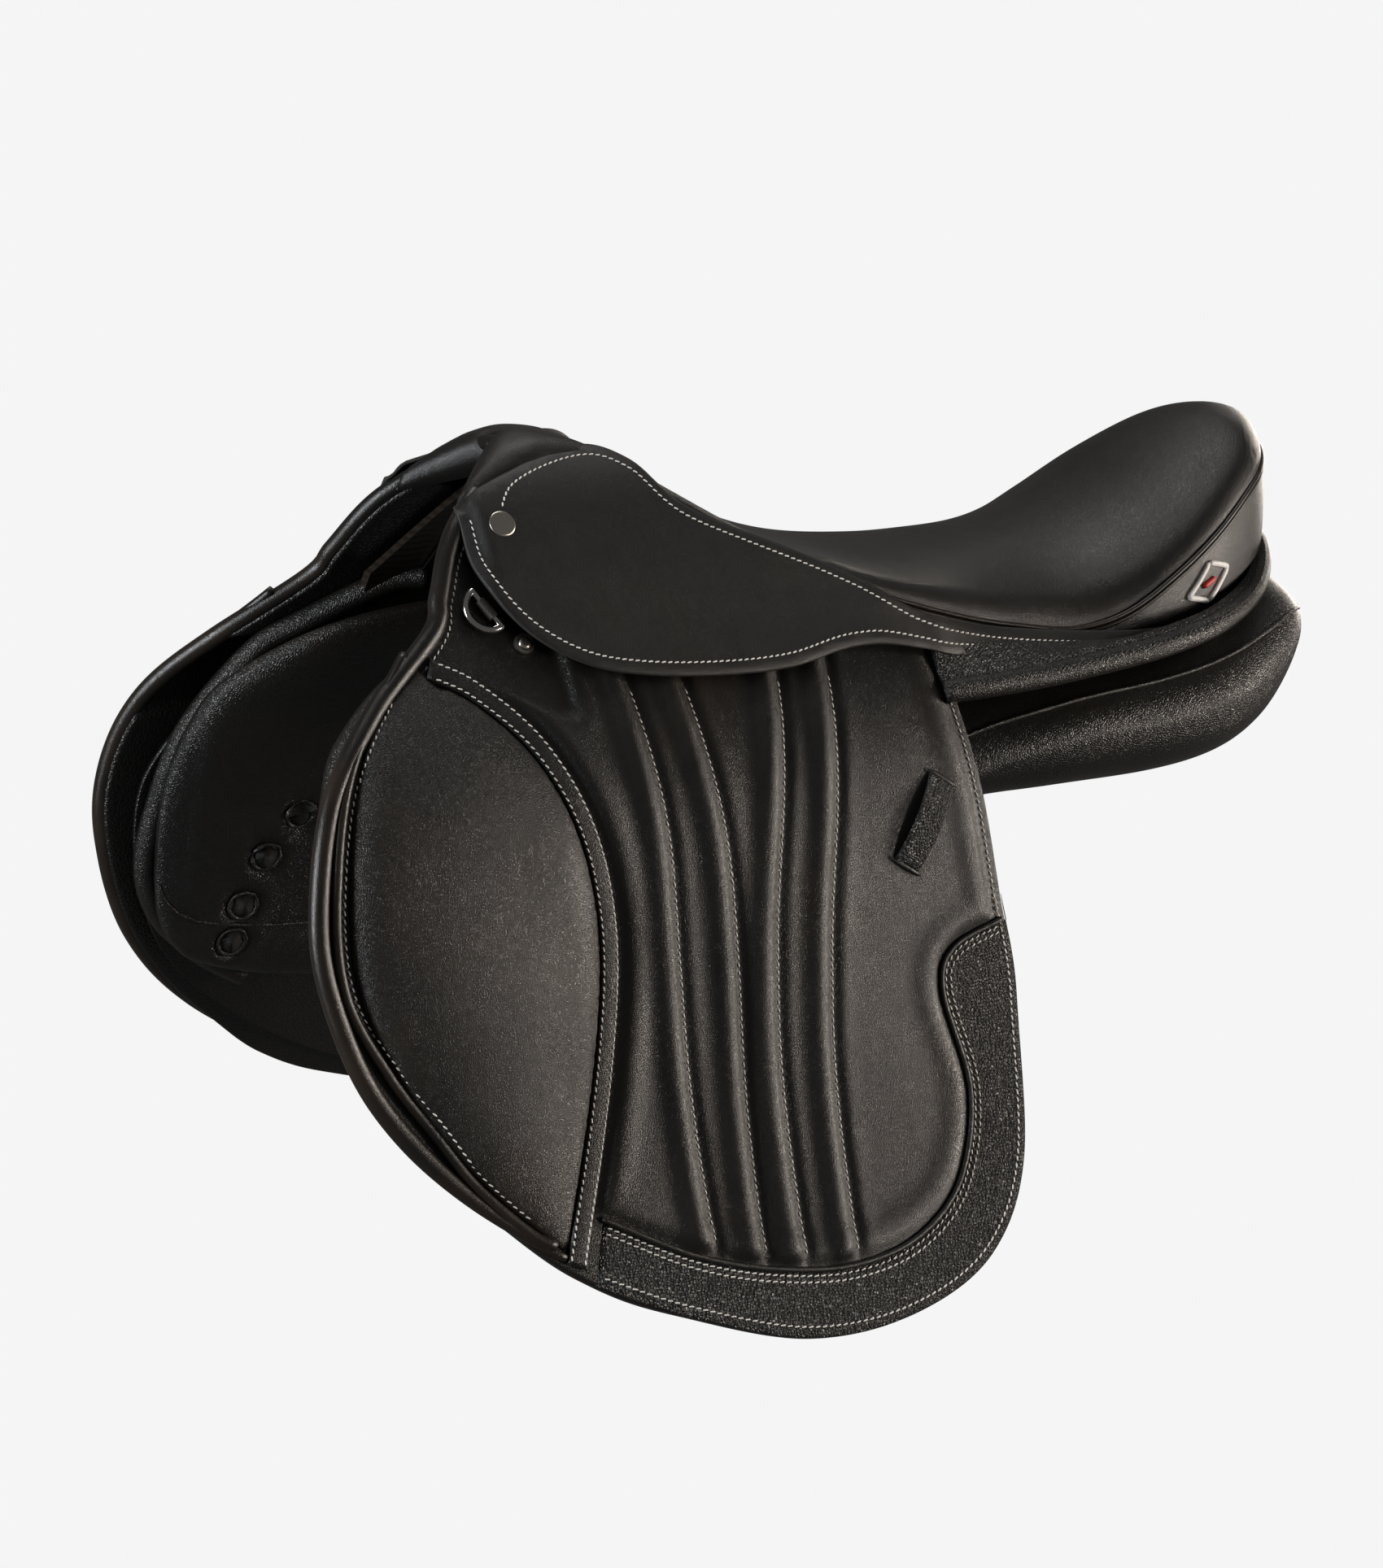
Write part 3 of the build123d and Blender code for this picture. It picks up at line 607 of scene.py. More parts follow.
# ---- Flap stitching --------------------------------------------------------------------------
# White waxed thread, sewn by machine at about seven to the inch. Each stitch is a short
# slanted bar that sits down in its own hole.
white_thread = mottled("white_thread", colour(0.62, 0.60, 0.56), colour(0.86, 0.84, 0.80), 2600,
                       0.75, depth=0.15)
black_thread = mottled("black_thread", colour(0.006, 0.006, 0.006), colour(0.03, 0.029, 0.028),
                       2600, 0.6)
STITCH_RINGS = [(-1.0, 0.15), (-0.72, 0.85), (0.0, 1.0), (0.72, 0.85), (1.0, 0.15)]
STITCH_SIDES = 6
STITCH_WIDE = 0.85
STITCH_SLANT = math.radians(14)


def stitches(path, normals, finish=white_thread, pitch=3.7, length=2.7):
    """A row of thread bars along a path, each turned a little off the line of sewing."""
    rows = even(np.hstack([path, normals]), pitch)
    spots, ups = rows[:, :3], rows[:, 3:]
    ways = np.gradient(spots, axis=0)
    points, faces = [], []
    for spot, up, way in zip(spots, ups, ways):
        up = up / np.linalg.norm(up)
        way = way - up * (way @ up)
        way /= np.linalg.norm(way)
        across = np.cross(up, way)
        way, across = (way * math.cos(STITCH_SLANT) + across * math.sin(STITCH_SLANT),
                       across * math.cos(STITCH_SLANT) - way * math.sin(STITCH_SLANT))
        start = len(points)
        for along, size in STITCH_RINGS:
            middle = spot + way * along * length / 2 + up * (0.35 * size - 0.2)
            for k in range(STITCH_SIDES):
                angle = math.tau * k / STITCH_SIDES
                points.append(middle + across * math.cos(angle) * size * STITCH_WIDE / 2
                              + up * math.sin(angle) * size * STITCH_WIDE * 0.4)
        faces += [[start + v for v in face]
                  for face in ring_faces(len(STITCH_RINGS), STITCH_SIDES)]
    return piece("row", np.array(points), faces, finish)


def sewn(line, lift, side, **look):
    """A row of stitches on the side of the saddle."""
    base = on_side(line, lift, side)
    up = on_side(line, lift + 1, side) - base
    return stitches(base, up, **look)


def pad_height(line):
    """Height of the knee pad at places near its edge."""
    nearest = [np.argmin(np.linalg.norm(pad_flat - spot, axis=1)) for spot in line]
    return pad_lift[nearest]


BAND_SEW = 2.0           # how far each row lies in from the edge of its strip
BAND_THREAD = 2.95
BORDER_THREAD = 0.8
roll_row = moved(roll_edge, 2 * ROLL_RADIUS + 1.3)
roll_row = roll_row[(roll_row[:, 1] > 66) & (roll_row[:, 1] < 150)]
pad_row = moved(piping, 5.0)[8:-6]
for tag, side in SIDES.items():
    rows = [sewn(line[4:-3], flap_face(line[4:-3]) + 0.55, side) for line in quilt_lines]
    for inset in (BAND_SEW, BAND_WIDTH - BAND_SEW):
        rows.append(sewn(moved(band_line, -inset)[2:-1], BAND_THREAD, side))
    rows.append(sewn(roll_row, flap_face(roll_row), side))
    rows.append(sewn(pad_row, pad_height(pad_row) + 0.1, side, pitch=4.0))
    line = moved(rear_line, 4.5)
    line = line[line[:, 1] > -60]
    rows.append(sewn(line, flap_face(line) + 0.1, side))
    made = join(f"{tag}_flap_stitching", rows)
    bend_with_flap(made)
    rows = [sewn(moved(border_line, -inset)[2:-2], BORDER_THREAD, side) for inset in (2.6, 5.4)]
    rows.append(sewn(moved(foot_line, 4.2)[2:-1], BORDER_THREAD, side))
    made = join(f"{tag}_border_stitching", rows)
    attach(made, f"{tag}_flap_body")

# ---- Skirts ----------------------------------------------------------------------------------
# Each skirt is one thickness of firm bridle leather that covers the stirrup bar. It is
# nailed at the head, sewn under the seat, and its tail is drawn round the cantle.
SKIRT_TOP = [(-97, 135), (-36, 107), (3, 87), (20, 82)]
SKIRT_HEAD = [(-218, 147), (-188, 155), (-145, 163), (-120, 156), (-97, 135)]
SKIRT_FRONT = [(-218, 147), (-217, 117), (-202, 92), (-176, 74), (-145, 66), (-103, 62), (-66, 62)]
SKIRT_LOW = [(-66, 62), (-31, 67), (6, 66), (20, 64)]
TAIL = [  # x, then y and z of the top edge and of the lower edge
    (20, 92, 81.5, 103, 64.5), (60, 87, 71, 99, 58), (110, 90, 64, 97, 54),
    (150, 92, 61, 95, 51), (190, 86, 62, 88, 51), (225, 69, 68, 71, 57),
    (246, 50, 76, 53, 65), (259, 30, 82, 32, 71),
]
SKIRT_FOOT = 8.2
SKIRT_THICK = 3.3
CORNER_TUCK = 5.0       # how far the front top corner is drawn in under the head
tail_rows = smooth_line(TAIL, 2.0)
skirt_outline = np.vstack([
    smooth_line(SKIRT_FRONT + SKIRT_LOW[1:-1] + [(x, low_z) for x, _, _, _, low_z in TAIL]),
    smooth_line(SKIRT_HEAD[:-1] + SKIRT_TOP[:-1] + [(x, z) for x, _, z, _, _ in TAIL])[::-1],
])[:-1]
skirt_flat, skirt_faces = cut_out(skirt_outline, 2.8, (0.5, 1.4))


def on_skirt(flat, lift, side):
    """Flat skirt places on the side of the saddle, the tail drawn in under the seat."""
    corner = ease((-206 - flat[:, 0]) / 10) * ease((flat[:, 1] - 105) / 25)
    laid = on_side(flat, lift - CORNER_TUCK * corner, side)
    top_y, top_z, low_y, low_z = (np.interp(flat[:, 0], tail_rows[:, 0], tail_rows[:, k])
                                  for k in range(1, 5))
    share = np.clip((top_z - flat[:, 1]) / (top_z - low_z), 0, 1)
    drawn = side * (top_y + (low_y - top_y) * share + lift - SKIRT_FOOT)
    weight = ease((flat[:, 0] + 20) / 50)
    laid[:, 1] = laid[:, 1] * (1 - weight) + drawn * weight
    laid[:, 2] = laid[:, 2] * (1 - weight) + flat[:, 1] * weight
    return laid


skirt_hide = calf("skirt_leather", colour(0.0058, 0.0054, 0.0051), colour(0.0115, 0.0098, 0.0082),
                  0.44, 0.6, 0.10)
edge_paint = mottled("painted_edge", colour(0.006, 0.0056, 0.0052), colour(0.032, 0.029, 0.026),
                     1500, 0.7, 3, 0.5)
skirt_edge = np.abs(reach(skirt_flat, closed(skirt_outline)))
skirt_round = 0.9 * (1 - ease(skirt_edge / 1.6))
low_skirt = smooth_line(SKIRT_FRONT + SKIRT_LOW[1:-1] + [(x, z) for x, _, _, _, z in TAIL[:-2]])
low_row = moved(low_skirt, 5.0)[3:]
top_skirt = smooth_line([(-206, 139)] + SKIRT_HEAD[1:-1] + SKIRT_TOP[:-1]
                        + [(x, z) for x, _, z, _, _ in TAIL[:-2]])
top_row = moved(top_skirt, -4.6)[4:]


def bend_with_skirt(made):
    """Bakes a piece's placement into its points."""
    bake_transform(made)


for tag, side in SIDES.items():
    face = on_skirt(skirt_flat, SKIRT_FOOT + SKIRT_THICK - skirt_round, side)
    under = on_skirt(skirt_flat, SKIRT_FOOT + skirt_round * 0.6, side)
    made = slab(f"{tag}_skirt_leather", skirt_flat, skirt_faces, face, under, skirt_hide)
    made.data.materials.append(edge_paint)
    for polygon in made.data.polygons[2 * len(skirt_faces):]:
        polygon.material_index = 1
    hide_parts(f"{tag}_skirt", f"{tag}_skirt_upper")
    bend_with_skirt(made)
    rows = []
    for line in (low_row, top_row):
        lift = SKIRT_FOOT + SKIRT_THICK + 0.05
        base = on_skirt(line, lift, side)
        rows.append(stitches(base, on_skirt(line, lift + 1, side) - base, pitch=3.4, length=2.5))
    made = join(f"{tag}_skirt_stitching", rows)
    bend_with_skirt(made)

# ---- Seat ------------------------------------------------------------------------------------
# Soft calf is blocked wet over the foam, from the pommel to the cantle, and sewn to the
# skirts and to the cantle facing with a thin double welt in the seam.
SEAT_PLAN = [(-180, 0), (-191, 11), (-203, 23), (-214, 34), (-205, 36), (-188, 35), (-165, 31),
             (-145, 30), (-123, 35), (-97, 48), (-66, 59), (-36, 66), (3, 74), (45, 80),
             (75, 83), (110, 86), (140, 88), (170, 86.7), (200, 79.8), (230, 64.7), (248, 49),
             (262, 27), (267, 12), (268, 0)]
SEAT_SIDE = [  # x, height of the seam and height of the middle
    (-216, 147, 160), (-205, 150, 166), (-188, 156, 174), (-180, 159, 177), (-165, 164, 178.5),
    (-145, 165, 174), (-123, 160, 163), (-97, 139, 146), (-66, 121, 127), (-36, 108, 113),
    (3, 90, 104), (45, 76, 101), (75, 69, 101), (110, 64, 103), (140, 70, 109), (170, 86, 121),
    (200, 104, 138), (230, 122, 152), (252, 132, 155), (268, 137, 150),
]
SEAT_EDGE, SEAT_ROUND = 8.0, 11.0       # height and width of the seat's rounded edge
POMMEL_POINTS, POMMEL_RADIUS = 10, 4.5
seat_half = smooth_line(SEAT_PLAN, 3.0)
seat_outline = np.vstack([seat_half, (seat_half * (1, -1))[::-1][1:-1]])
seat_rows = smooth_line(SEAT_SIDE, 2.0)
seat_flat, seat_faces = cut_out(seat_outline, 3.0)
seat_wide = seat_half[np.argmin(seat_half[:, 0]):]


def seat_top(flat, drop=0.0):
    """Points on the crowned face of the seat over plan places."""
    x, y = flat[:, 0], flat[:, 1]
    low = np.interp(x, seat_rows[:, 0], seat_rows[:, 1])
    high = np.interp(x, seat_rows[:, 0], seat_rows[:, 2])
    half = np.interp(x, seat_wide[:, 0], seat_wide[:, 1]).clip(8, 200)
    gap = np.abs(reach(flat, closed(seat_outline)))
    share = np.clip(np.abs(y) / half, 0, 1)
    turn = 1 - np.clip(gap / SEAT_ROUND, 0, 1)
    edge = SEAT_EDGE * np.sqrt(np.clip(1 - turn ** 2, 0, 1))
    rise = (high - low - SEAT_EDGE).clip(0, 99) * (1 - share ** 2.3) ** 0.9
    face = low + edge * np.clip((high - low) / SEAT_EDGE, 0, 1) + rise
    return np.stack([x, y, face - drop], axis=1)


seat_calf = calf("seat_calf", colour(0.0055, 0.0050, 0.0046), colour(0.0125, 0.0102, 0.0080),
                 0.36, 0.7, 0.12)
seat_shell = seat_top(seat_flat)
seat_floor = seat_shell.copy()
seat_floor[:, 2] = np.interp(seat_flat[:, 0], seat_rows[:, 0], seat_rows[:, 1]) - 2.5
made = slab("seat_leather", seat_flat, seat_faces, seat_shell, seat_floor, seat_calf)
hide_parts("seat_cover", "pommel_cover")
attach(made, "root")
foam = Finish("seat_foam", Roughness=0.95)
foam_skin = foam.done(
    Base_Color=foam.mix(foam.noise(300, 4), colour(0.42, 0.38, 0.27), colour(0.60, 0.56, 0.42)),
    Normal=foam.bump(foam.noise(900, 3), 0.6))
core_flat, core_faces = cut_out(seat_outline * (0.94, 0.90) + (1.5, 0), 5.0)
core = seat_top(core_flat, 3.0)
core_floor = core.copy()
core_floor[:, 2] = np.interp(core_flat[:, 0], seat_rows[:, 0], seat_rows[:, 1]) - 2.0
core[:, 2] = np.maximum(core[:, 2], core_floor[:, 2] + 0.5)
made = slab("seat_foam_core", core_flat, core_faces, core, core_floor, foam_skin)
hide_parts("seat_foam")
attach(made, "root")
seat_seam = np.vstack([seat_wide, (seat_wide * (1, -1))[::-1][1:]])
seam_low = np.interp(seat_seam[:, 0], seat_rows[:, 0], seat_rows[:, 1])
seam_path = np.stack([seat_seam[:, 0], seat_seam[:, 1] * 1.01, seam_low], axis=1)
welts = [tube("welt", seam_path + (0, 0, drop), 1.25, roll_calf, 8) for drop in (0.2, -2.4)]
made = join("seat_welts", welts)
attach(made, "root")
head_half = on_side(roll_middle[:POMMEL_POINTS], ROLL_LIFT, -1)
head_path = np.vstack([head_half[::-1], (head_half * (1, -1, 1))[1:]])
made = tube("pommel_roll", even(head_path, 2.5), POMMEL_RADIUS, roll_calf, 16)
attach(made, "root")

# ---- Cantle facing ---------------------------------------------------------------------------
# A strip of smooth calf closes the back of the seat over the cantle board. Its near rear
# quarter carries a small plain lozenge worked in white and red silk.
FACING_LOW = [(96, 58), (113, 57), (140, 54), (170, 53), (200, 57), (230, 65), (252, 74),
              (268, 78)]
facing_foot = smooth_line(FACING_LOW, 2.0)
ring = seat_wide[seat_wide[:, 0] > 96]
ring = np.vstack([ring * (1, -1), ring[::-1][1:]])
ring_top = np.interp(ring[:, 0], seat_rows[:, 0], seat_rows[:, 1]) - 1.5
ring_low = np.interp(ring[:, 0], facing_foot[:, 0], facing_foot[:, 1])


def on_facing(along, up, stand=0.0):
    """A place on the cantle facing: its share of the way round and of the way up."""
    spot = along * (len(ring) - 1)
    rows = np.arange(len(ring))
    x, y = np.interp(spot, rows, ring[:, 0]), np.interp(spot, rows, ring[:, 1])
    top, low = np.interp(spot, rows, ring_top), np.interp(spot, rows, ring_low)
    near, far = np.interp(spot + 0.5, rows, ring[:, 0]), np.interp(spot - 0.5, rows, ring[:, 0])
    near_y, far_y = np.interp(spot + 0.5, rows, ring[:, 1]), np.interp(spot - 0.5, rows, ring[:, 1])
    way = np.array([near_y - far_y, far - near])
    way = way / (np.linalg.norm(way) + 1e-9)
    bow = 1.6 * math.sin(math.pi * up) + stand
    return np.array([x + way[0] * bow, y + way[1] * bow, low + (top - low) * up])


rows = np.array([[on_facing(share, up) for up in np.linspace(0, 1, 15)]
                 + [on_facing(share, up, -3.0) for up in np.linspace(1, 0, 6)]
                 for share in np.linspace(0, 1, 150)])
made = piece("cantle_facing_leather", rows.reshape(-1, 3), ring_faces(*rows.shape[:2]), seat_calf)
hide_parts("cantle_facing")
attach(made, "root")
white_silk = mottled("white_silk", colour(0.5, 0.5, 0.5), colour(0.75, 0.75, 0.75), 1800, 0.5)
red_silk = mottled("red_silk", colour(0.30, 0.006, 0.008), colour(0.48, 0.012, 0.012), 1800, 0.5)
EMBLEM = [  # start and end of each bar, as shares round and up the facing, and its silk
    (0.186, 0.56, 0.222, 0.80, white_silk), (0.222, 0.80, 0.258, 0.56, white_silk),
    (0.258, 0.56, 0.222, 0.32, white_silk), (0.222, 0.32, 0.186, 0.56, white_silk),
    (0.212, 0.56, 0.232, 0.56, red_silk),
]
BAR_SIZES = [1.2] + [1.7] * 7 + [1.2]
bars = []
for start, low, end, high, finish in EMBLEM:
    path = [on_facing(start + (end - start) * t, low + (high - low) * t, 0.3)
            for t in np.linspace(0, 1, len(BAR_SIZES))]
    bars.append(tube("bar", path, BAR_SIZES, finish, 8))
made = join("cantle_emblem", bars)
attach(made, "root")

# ---- Panels ----------------------------------------------------------------------------------
# Two wool-flocked cushions carry the saddle clear of the spine. Each is soft calf with a
# pebbled strip and a roll along its top edge, a gusset seam, and vents in its front.
PANEL_SECTIONS = [  # x, top y, top z, bottom y, bottom z, outward and inward thickness, bulge
    (-319, 101, -22, 112, -66, 2, 3, 1), (-316, 94, 0, 116, -84, 5, 7, 4),
    (-308, 82, 26, 119, -100, 9, 12, 9), (-293, 68, 50, 122, -112, 13, 17, 13),
    (-250, 46, 76, 125, -125, 14, 18, 16), (-190, 38, 86, 127, -130, 14, 18, 19),
    (-120, 38, 82, 118, -105, 14, 18, 16), (-50, 34, 74, 104, -60, 14, 22, 9),
    (20, 28, 50, 108, -8, 14, 34, 4),
    (90, 24, 38, 118, 10, 19, 38, 0), (150, 22, 42, 120, 14, 22, 42, 0),
    (190, 22, 46, 116, 20, 23, 44, 0), (222, 24, 54, 104, 28, 24, 44, 0),
    (248, 30, 60, 86, 38, 20, 38, 0), (260, 40, 58, 72, 44, 12, 22, 0),
    (265, 50, 56, 62, 50, 4, 6, 0),
]
VENT_SIDES = 28
VENT_DENT, VENT_RIM = 2.4, 0.7
# The hole rings are painted near black: painted shade stands in for the depth of the hole.
VENT_HOLE = 3           # rings of the dish that are the dark hole
VENT_DISH = [  # radius and depth of each ring, from the middle outwards
    (0.2, 1.0), (4.0, 1.0), (6.6, 1.4), (7.4, 1.9), (8.2, 1.6), (8.8, -0.8),
]
VENTS = [(-248, -30), (-264, -53), (-274, -80), (-278, -101)]
PANEL_TOP = [(16, 112, 47), (40, 115, 48), (78, 116, 50), (126, 114, 54), (160, 108, 57),
             (189, 99, 61), (220, 81, 68), (240, 62, 77), (252, 42, 86), (257, 22, 91),
             (258, 6, 92)]
PANEL_FRONT = [(-190, 52, 96), (-209, 60, 93), (-250, 75, 73), (-272, 86, 58), (-303, 100, 18),
               (-316, 115, -27), (-319, 124, -60), (-309, 131, -88), (-286, 136, -112),
               (-262, 138, -128)]
PANEL_TURNS = 88
EDGE_ROLL, FRONT_ROLL = 6.0, 6.5
panel_rows = smooth_line(PANEL_SECTIONS, 3.0)
panel_top = smooth_line(PANEL_TOP, 3.0)
panel_calf = calf("panel_calf", colour(0.0055, 0.0051, 0.0047), colour(0.013, 0.0108, 0.0086),
                  0.34, 1.1, 0.30)
# The vent holes take a near-black finish. It is painted shade for their depth, since the dishes are
# only a millimetre deep.
vent_painted_shade = mottled("vent_hole_painted_shade", colour(0.001, 0.001, 0.001), colour(0.004, 0.004, 0.004),
                    900, 0.95)


def panel_point(row, turn, side, grow=0.0):
    """A place on a panel's section, by its angle from the top edge round the outside."""
    x, top_y, top_z, low_y, low_z, outward, inward, bulge = row
    half = np.array([(top_y - low_y) / 2, (top_z - low_z) / 2])
    normal = np.array([half[1], -half[0]])
    normal = normal / np.linalg.norm(normal)
    along, across = math.cos(turn), math.sin(turn)
    thick = (outward if across > 0 else inward) + grow
    along = math.copysign(abs(along) ** 0.86, along)
    across = math.copysign(abs(across) ** 0.86, across)
    spot = np.array([(top_y + low_y) / 2, (top_z + low_z) / 2]) + half * along
    spot = spot + normal * (across * thick + bulge * (1 - along ** 2))
    return np.array([x, side * spot[0], spot[1]])


for tag, side in SIDES.items():
    turns = np.linspace(0, math.tau, PANEL_TURNS, endpoint=False)
    points = np.array([panel_point(row, turn, side) for row in panel_rows for turn in turns])
    inner_face = np.tile(np.sin(turns) < 0.1, len(panel_rows))
    dent = np.zeros(len(points))
    for x, z in VENTS:
        gap = np.hypot(points[:, 0] - x, points[:, 2] - z)
        dent = dent + VENT_DENT * (1 - ease((gap - 5) / 7)) - VENT_RIM * bell(gap - 14, 4)
    points[:, 1] += side * dent * inner_face
    parts = [piece("cushion", points, ring_faces(len(panel_rows), PANEL_TURNS), panel_calf)]
    near = points[inner_face]
    for x, z in VENTS:
        turn = np.linspace(0, math.tau, VENT_SIDES, endpoint=False)
        rings = []
        for size, sink in VENT_DISH:
            spots = np.stack([x + size * np.cos(turn), z + size * np.sin(turn)], axis=1)
            gaps = np.linalg.norm(spots[:, None] - near[None, :, [0, 2]], axis=2)
            weight = np.exp(-(gaps / 2.2) ** 2)
            deep = (weight * near[None, :, 1]).sum(axis=1) / weight.sum(axis=1)
            rings.append(np.stack([spots[:, 0], deep - side * sink, spots[:, 1]], axis=1))
        hole, collar = rings[:VENT_HOLE], rings[VENT_HOLE - 1:]
        parts.append(piece("vent", np.vstack(hole), ring_faces(len(hole), VENT_SIDES), vent_painted_shade))
        parts.append(piece("collar", np.vstack(collar),
                           ring_faces(len(collar), VENT_SIDES, False), panel_calf))
    over = np.array([(x, side * y, z) for x, y, z in panel_top])
    parts.append(tube("edge_roll", over, EDGE_ROLL, panel_calf, 14))
    tail_low = np.interp(panel_top[:, 0], tail_rows[:, 0], tail_rows[:, 3])
    tail_z = np.interp(panel_top[:, 0], tail_rows[:, 0], tail_rows[:, 4])
    rows = []
    for (x, y, z), low_y, low_z in zip(panel_top, tail_low, tail_z):
        ends = ((y + 2, z + 3.5), (y - 5, z + 8.5), (low_y - 1, low_z + 6), (low_y - 7, low_z + 9),
                (low_y - 8, low_z + 4), (y - 9, z + 1))
        rows.append([(x, side * row_y, row_z) for row_y, row_z in ends])
    parts.append(piece("strip", np.array(rows).reshape(-1, 3), ring_faces(len(rows), 6),
                       border_hide))
    sewing = over + (0, side * 4.5, 4.0)
    parts.append(stitches(sewing, np.tile((0, side * 0.7, 0.7), (len(sewing), 1)), black_thread))
    front_roll = smooth_line(PANEL_FRONT, 3.0) * (1, side, 1)
    parts.append(tube("front_roll", front_roll, FRONT_ROLL, panel_calf, 14))
    gusset = np.array([panel_point(row, 2.2, side, 0.3) for row in panel_rows[60:-8]])
    parts.append(tube("gusset", gusset, 1.1, panel_calf, 8))
    front = np.array([panel_point(row, -2.25, side, 0.2) for row in panel_rows[4:90]])
    parts.append(tube("front_seam", front, 1.0, panel_calf, 8))
    made = join(f"{tag}_panel_cushion", parts)
    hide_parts(f"{tag}_panel")
    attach(made, "root")

# ---- Sweat flaps and knee blocks -------------------------------------------------------------
# Under each flap a thin sweat flap of pebbled hide lies against the panel, with a firm
# knee block at its front edge.
SWEAT_EDGE = [(-300, 36), (-322, -10), (-322, -60), (-303, -108), (-262, -146), (-215, -176),
              (-160, -200), (-90, -212), (-40, -205), (-5, -178), (13, -120), (12, -40), (8, 36)]
BLOCK_EDGE = [(-290, 30), (-316, -8), (-319, -55), (-300, -84), (-286, -60), (-280, -10),
              (-290, 30)]
SWEAT_FACE, SWEAT_BACK = -15.9, -18.7
BLOCK_FACE, BLOCK_SWELL, BLOCK_BACK = -13.5, 6.0, -15.6
sweat_top = even(np.array([(8.0, 36), (-300, 36)]), 3)
sweat_loop = np.vstack([smooth_line(SWEAT_EDGE)[:-1], sweat_top[:-1]])
sweat_flat, sweat_faces = cut_out(sweat_loop, 6.0)
block_loop = smooth_line(BLOCK_EDGE)[:-1]
block_flat, block_faces = cut_out(block_loop, 2.5)
block_fill = swell(block_flat, block_faces, 400)
block = Finish("knee_block_suede", Roughness=0.8)
block_suede = block.done(
    Base_Color=block.mix(block.noise(500, 5), colour(0.018, 0.018, 0.019),
                         colour(0.042, 0.041, 0.042)),
    Normal=block.bump(block.noise(1400, 4), 0.25))
for tag, side in SIDES.items():
    made = sheet(f"{tag}_sweat_flap_leather", sweat_flat, sweat_faces, SWEAT_FACE, SWEAT_BACK,
                 side, grained_calf)
    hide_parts(f"{tag}_sweat_flap")
    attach(made, "root")
    face_lift = BLOCK_FACE + BLOCK_SWELL * block_fill ** 0.5
    made = sheet(f"{tag}_knee_block_suede", block_flat, block_faces, face_lift, BLOCK_BACK, side,
                 block_suede)
    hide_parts(f"{tag}_knee_block")
    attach(made, "root")

# ---- Metalwork, tree and webs ----------------------------------------------------------------
# The hard parts keep their machined shapes: a nickel head nail, dees and screws, forged
# bars, a laminated beech tree faced with black steel, and woven webs.


def metal(name, shade, roughness, wear):
    """Plated or forged steel with faint brushing and rubbed patches."""
    plate = Finish(name, Metallic=1.0)
    rubbed = plate.noise(60, 4)
    return plate.done(
        Base_Color=plate.mix(rubbed * wear, shade, colour(*[v * 0.55 for v in shade[:3]])),
        Roughness=rubbed * 0.16 + (roughness - 0.08),
        Normal=plate.bump(plate.noise(700, 4), 0.03))


nickel = metal("satin_nickel", colour(0.52, 0.49, 0.44), 0.30, 0.4)
chrome = metal("bright_chrome", colour(0.62, 0.61, 0.59), 0.12, 0.3)
forged = metal("forged_steel", colour(0.30, 0.29, 0.28), 0.42, 0.9)
blackened = metal("black_steel", colour(0.045, 0.044, 0.043), 0.45, 0.6)
beech = Finish("stained_laminated_beech", Roughness=0.45)
grain = beech.add("TexWave", {"bands_direction": "Z"},
                  {"Vector": beech.place(), "Scale": 90.0, "Distortion": 3.0}, "Fac")
beech_wood = beech.done(
    Base_Color=beech.mix(grain, colour(0.008, 0.0055, 0.004), colour(0.016, 0.011, 0.007)),
    Normal=beech.bump(grain, 0.2))
canvas = Finish("canvas_web", Roughness=0.9)
warp, weft = (canvas.add("TexWave", {"bands_direction": way},
                         {"Vector": canvas.place(), "Scale": 260.0}, "Fac") for way in "XY")
weave = warp + weft
canvas_cloth = canvas.done(
    Base_Color=canvas.mix(weave * 0.5, colour(0.20, 0.17, 0.12), colour(0.45, 0.40, 0.31)),
    Normal=canvas.bump(weave, 0.4))
strap_hide = calf("girth_strap_leather", colour(0.012, 0.0108, 0.0098),
                  colour(0.026, 0.021, 0.017), 0.48, 1.0, 0.15)
CARRIED = [
    (nickel, ["head_nail", "catch_pin"]),
    (chrome, ["front_dee"]),
    (forged, ["stirrup_bar", "bar_catch"]),
    (strap_hide, ["girth_straps", "dee_chape"]),
    (beech_wood, ["tree_rail"]),
]
WHOLE = [
    (beech_wood, ["tree_head", "tree_cantle"]),
    (blackened, ["gullet_plate", "spring_steels", "bar_rivets"]),
    (nickel, ["tree_rivets", "cup_washers", "flap_screws"]),
    (canvas_cloth, ["seat_webs", "girth_webs"]),
]
carried = [(finish, f"{tag}_{name}") for finish, names in CARRIED for name in names
           for tag in SIDES]
carried += [(finish, name) for finish, names in WHOLE for name in names]
for finish, name in carried:
    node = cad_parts[name]
    for slot in node.material_slots:
        slot.material = finish

# ---- Studio ----------------------------------------------------------------------------------
# A pale sweep of floor, warm softboxes to the right, front and rear, a long cool one at the
# left and a large one above. The camera sees a pale room, but little of its light falls.


def softbox(name, place, aim, width, height, power, warm):
    """A rectangular area light that faces a point on the saddle."""
    lamp = bpy.data.lights.new(name, "AREA")
    lamp.shape = "RECTANGLE"
    lamp.size, lamp.size_y = width, height
    lamp.energy = power
    lamp.color = warm
    made = bpy.data.objects.new(name, lamp)
    made.location = place
    made.rotation_euler = (Vector(aim) - Vector(place)).to_track_quat("-Z", "Y").to_euler()
    bpy.context.scene.collection.objects.link(made)


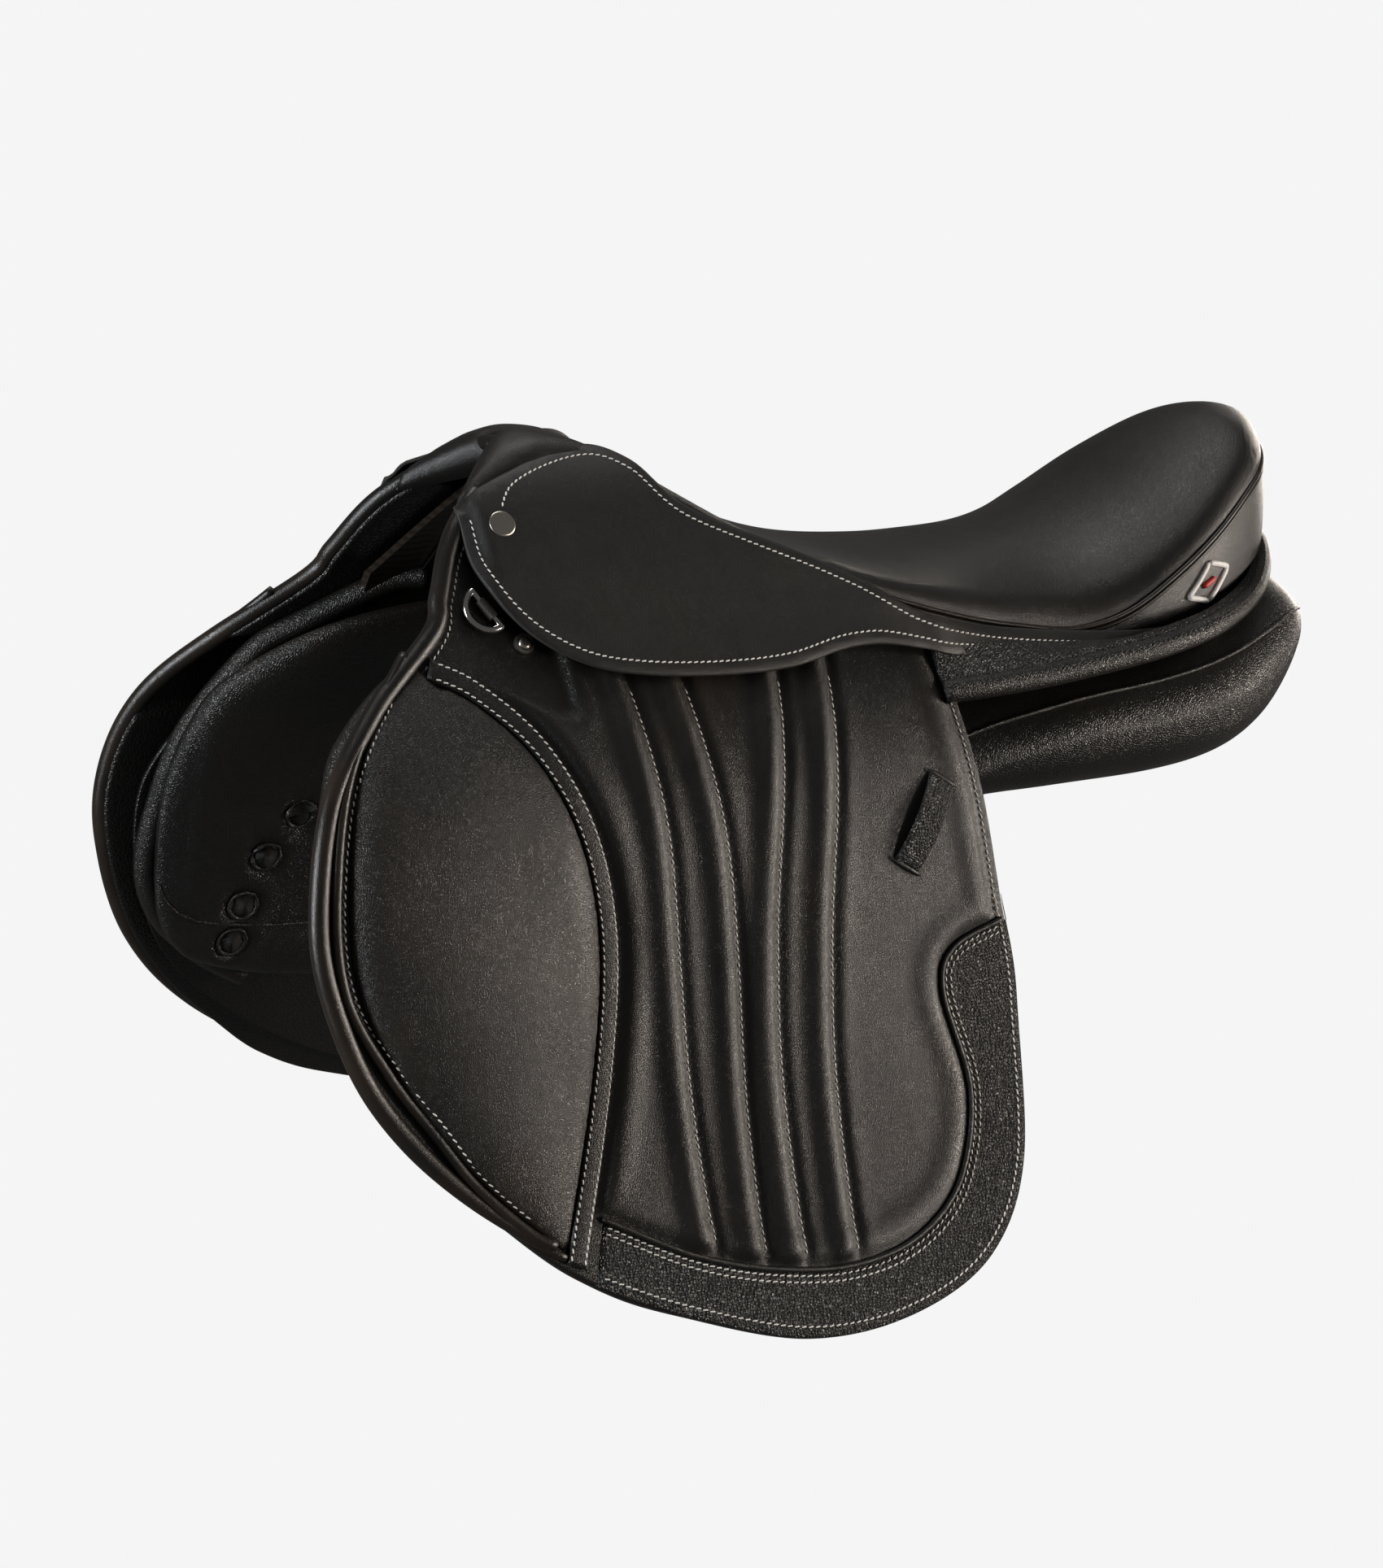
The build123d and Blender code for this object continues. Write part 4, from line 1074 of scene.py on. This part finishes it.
WARM = (1.0, 0.90, 0.80)
COOL = (0.94, 0.97, 1.0)
MILD = (1.0, 0.97, 0.93)
PALE = colour(0.913, 0.913, 0.913)
FLOOR_HALF = 60000.0
FLOOR_Z = -900.0
VIEW_TURN = math.radians(28)
VIEW_RISE = math.radians(15)
VIEW_PLACE = (-1110.15, -1962.37, 579.04)
VIEW_LENS = 116.47
softbox("right_box", (2.0, -0.95, 0.10), (0, -0.1, 0), 0.5, 1.0, 44, WARM)
softbox("rear_box", (1.9, 1.3, 0.2), (0.1, 0, 0.0), 0.8, 1.0, 17, WARM)
softbox("left_box", (-2.1, -0.2, 0.5), (-0.1, -0.1, 0), 0.3, 1.4, 45, COOL)
softbox("front_box", (1.35, -1.95, -0.10), (-0.25, -0.1, -0.1), 0.3, 0.36, 17, WARM)
softbox("top_box", (0.3, 0.7, 2.2), (0, 0, 0), 1.2, 0.8, 16, MILD)
world = bpy.data.worlds.new("studio")
world.use_nodes = True
sky = world.node_tree.nodes["Background"]
seen = world.node_tree.nodes.new("ShaderNodeLightPath")
pale = world.node_tree.nodes.new("ShaderNodeMix")
pale.data_type = "RGBA"
pale.inputs[COLOUR_LOW].default_value = colour(0.10, 0.098, 0.096)
pale.inputs[COLOUR_HIGH].default_value = PALE
world.node_tree.links.new(seen.outputs["Is Camera Ray"], pale.inputs[0])
world.node_tree.links.new(pale.outputs[COLOUR_OUT], sky.inputs["Color"])
bpy.context.scene.world = world
bpy.context.scene.view_settings.view_transform = "Standard"

paper = Finish("studio_paper", Roughness=1.0, Specular_IOR_Level=0.0, Emission_Strength=1.0)
sweep = paper.done(Base_Color=colour(0.0, 0.0, 0.0), Emission_Color=PALE)
corners = [(-1, -1), (1, -1), (1, 1), (-1, 1)]
floor = piece("floor", [(x * FLOOR_HALF, y * FLOOR_HALF, FLOOR_Z) for x, y in corners],
              [[0, 1, 2, 3]], sweep)
floor.visible_diffuse = False
floor.visible_glossy = False

back = Vector((-math.sin(VIEW_TURN) * math.cos(VIEW_RISE),
               -math.cos(VIEW_TURN) * math.cos(VIEW_RISE), math.sin(VIEW_RISE)))
eye = bpy.data.cameras.new("camera")
eye.lens = VIEW_LENS
eye.sensor_fit = "HORIZONTAL"
camera = bpy.data.objects.new("camera", eye)
camera.location = Vector(VIEW_PLACE) * MM
camera.rotation_euler = back.to_track_quat("Z", "Y").to_euler()
bpy.context.scene.collection.objects.link(camera)
bpy.context.scene.camera = camera
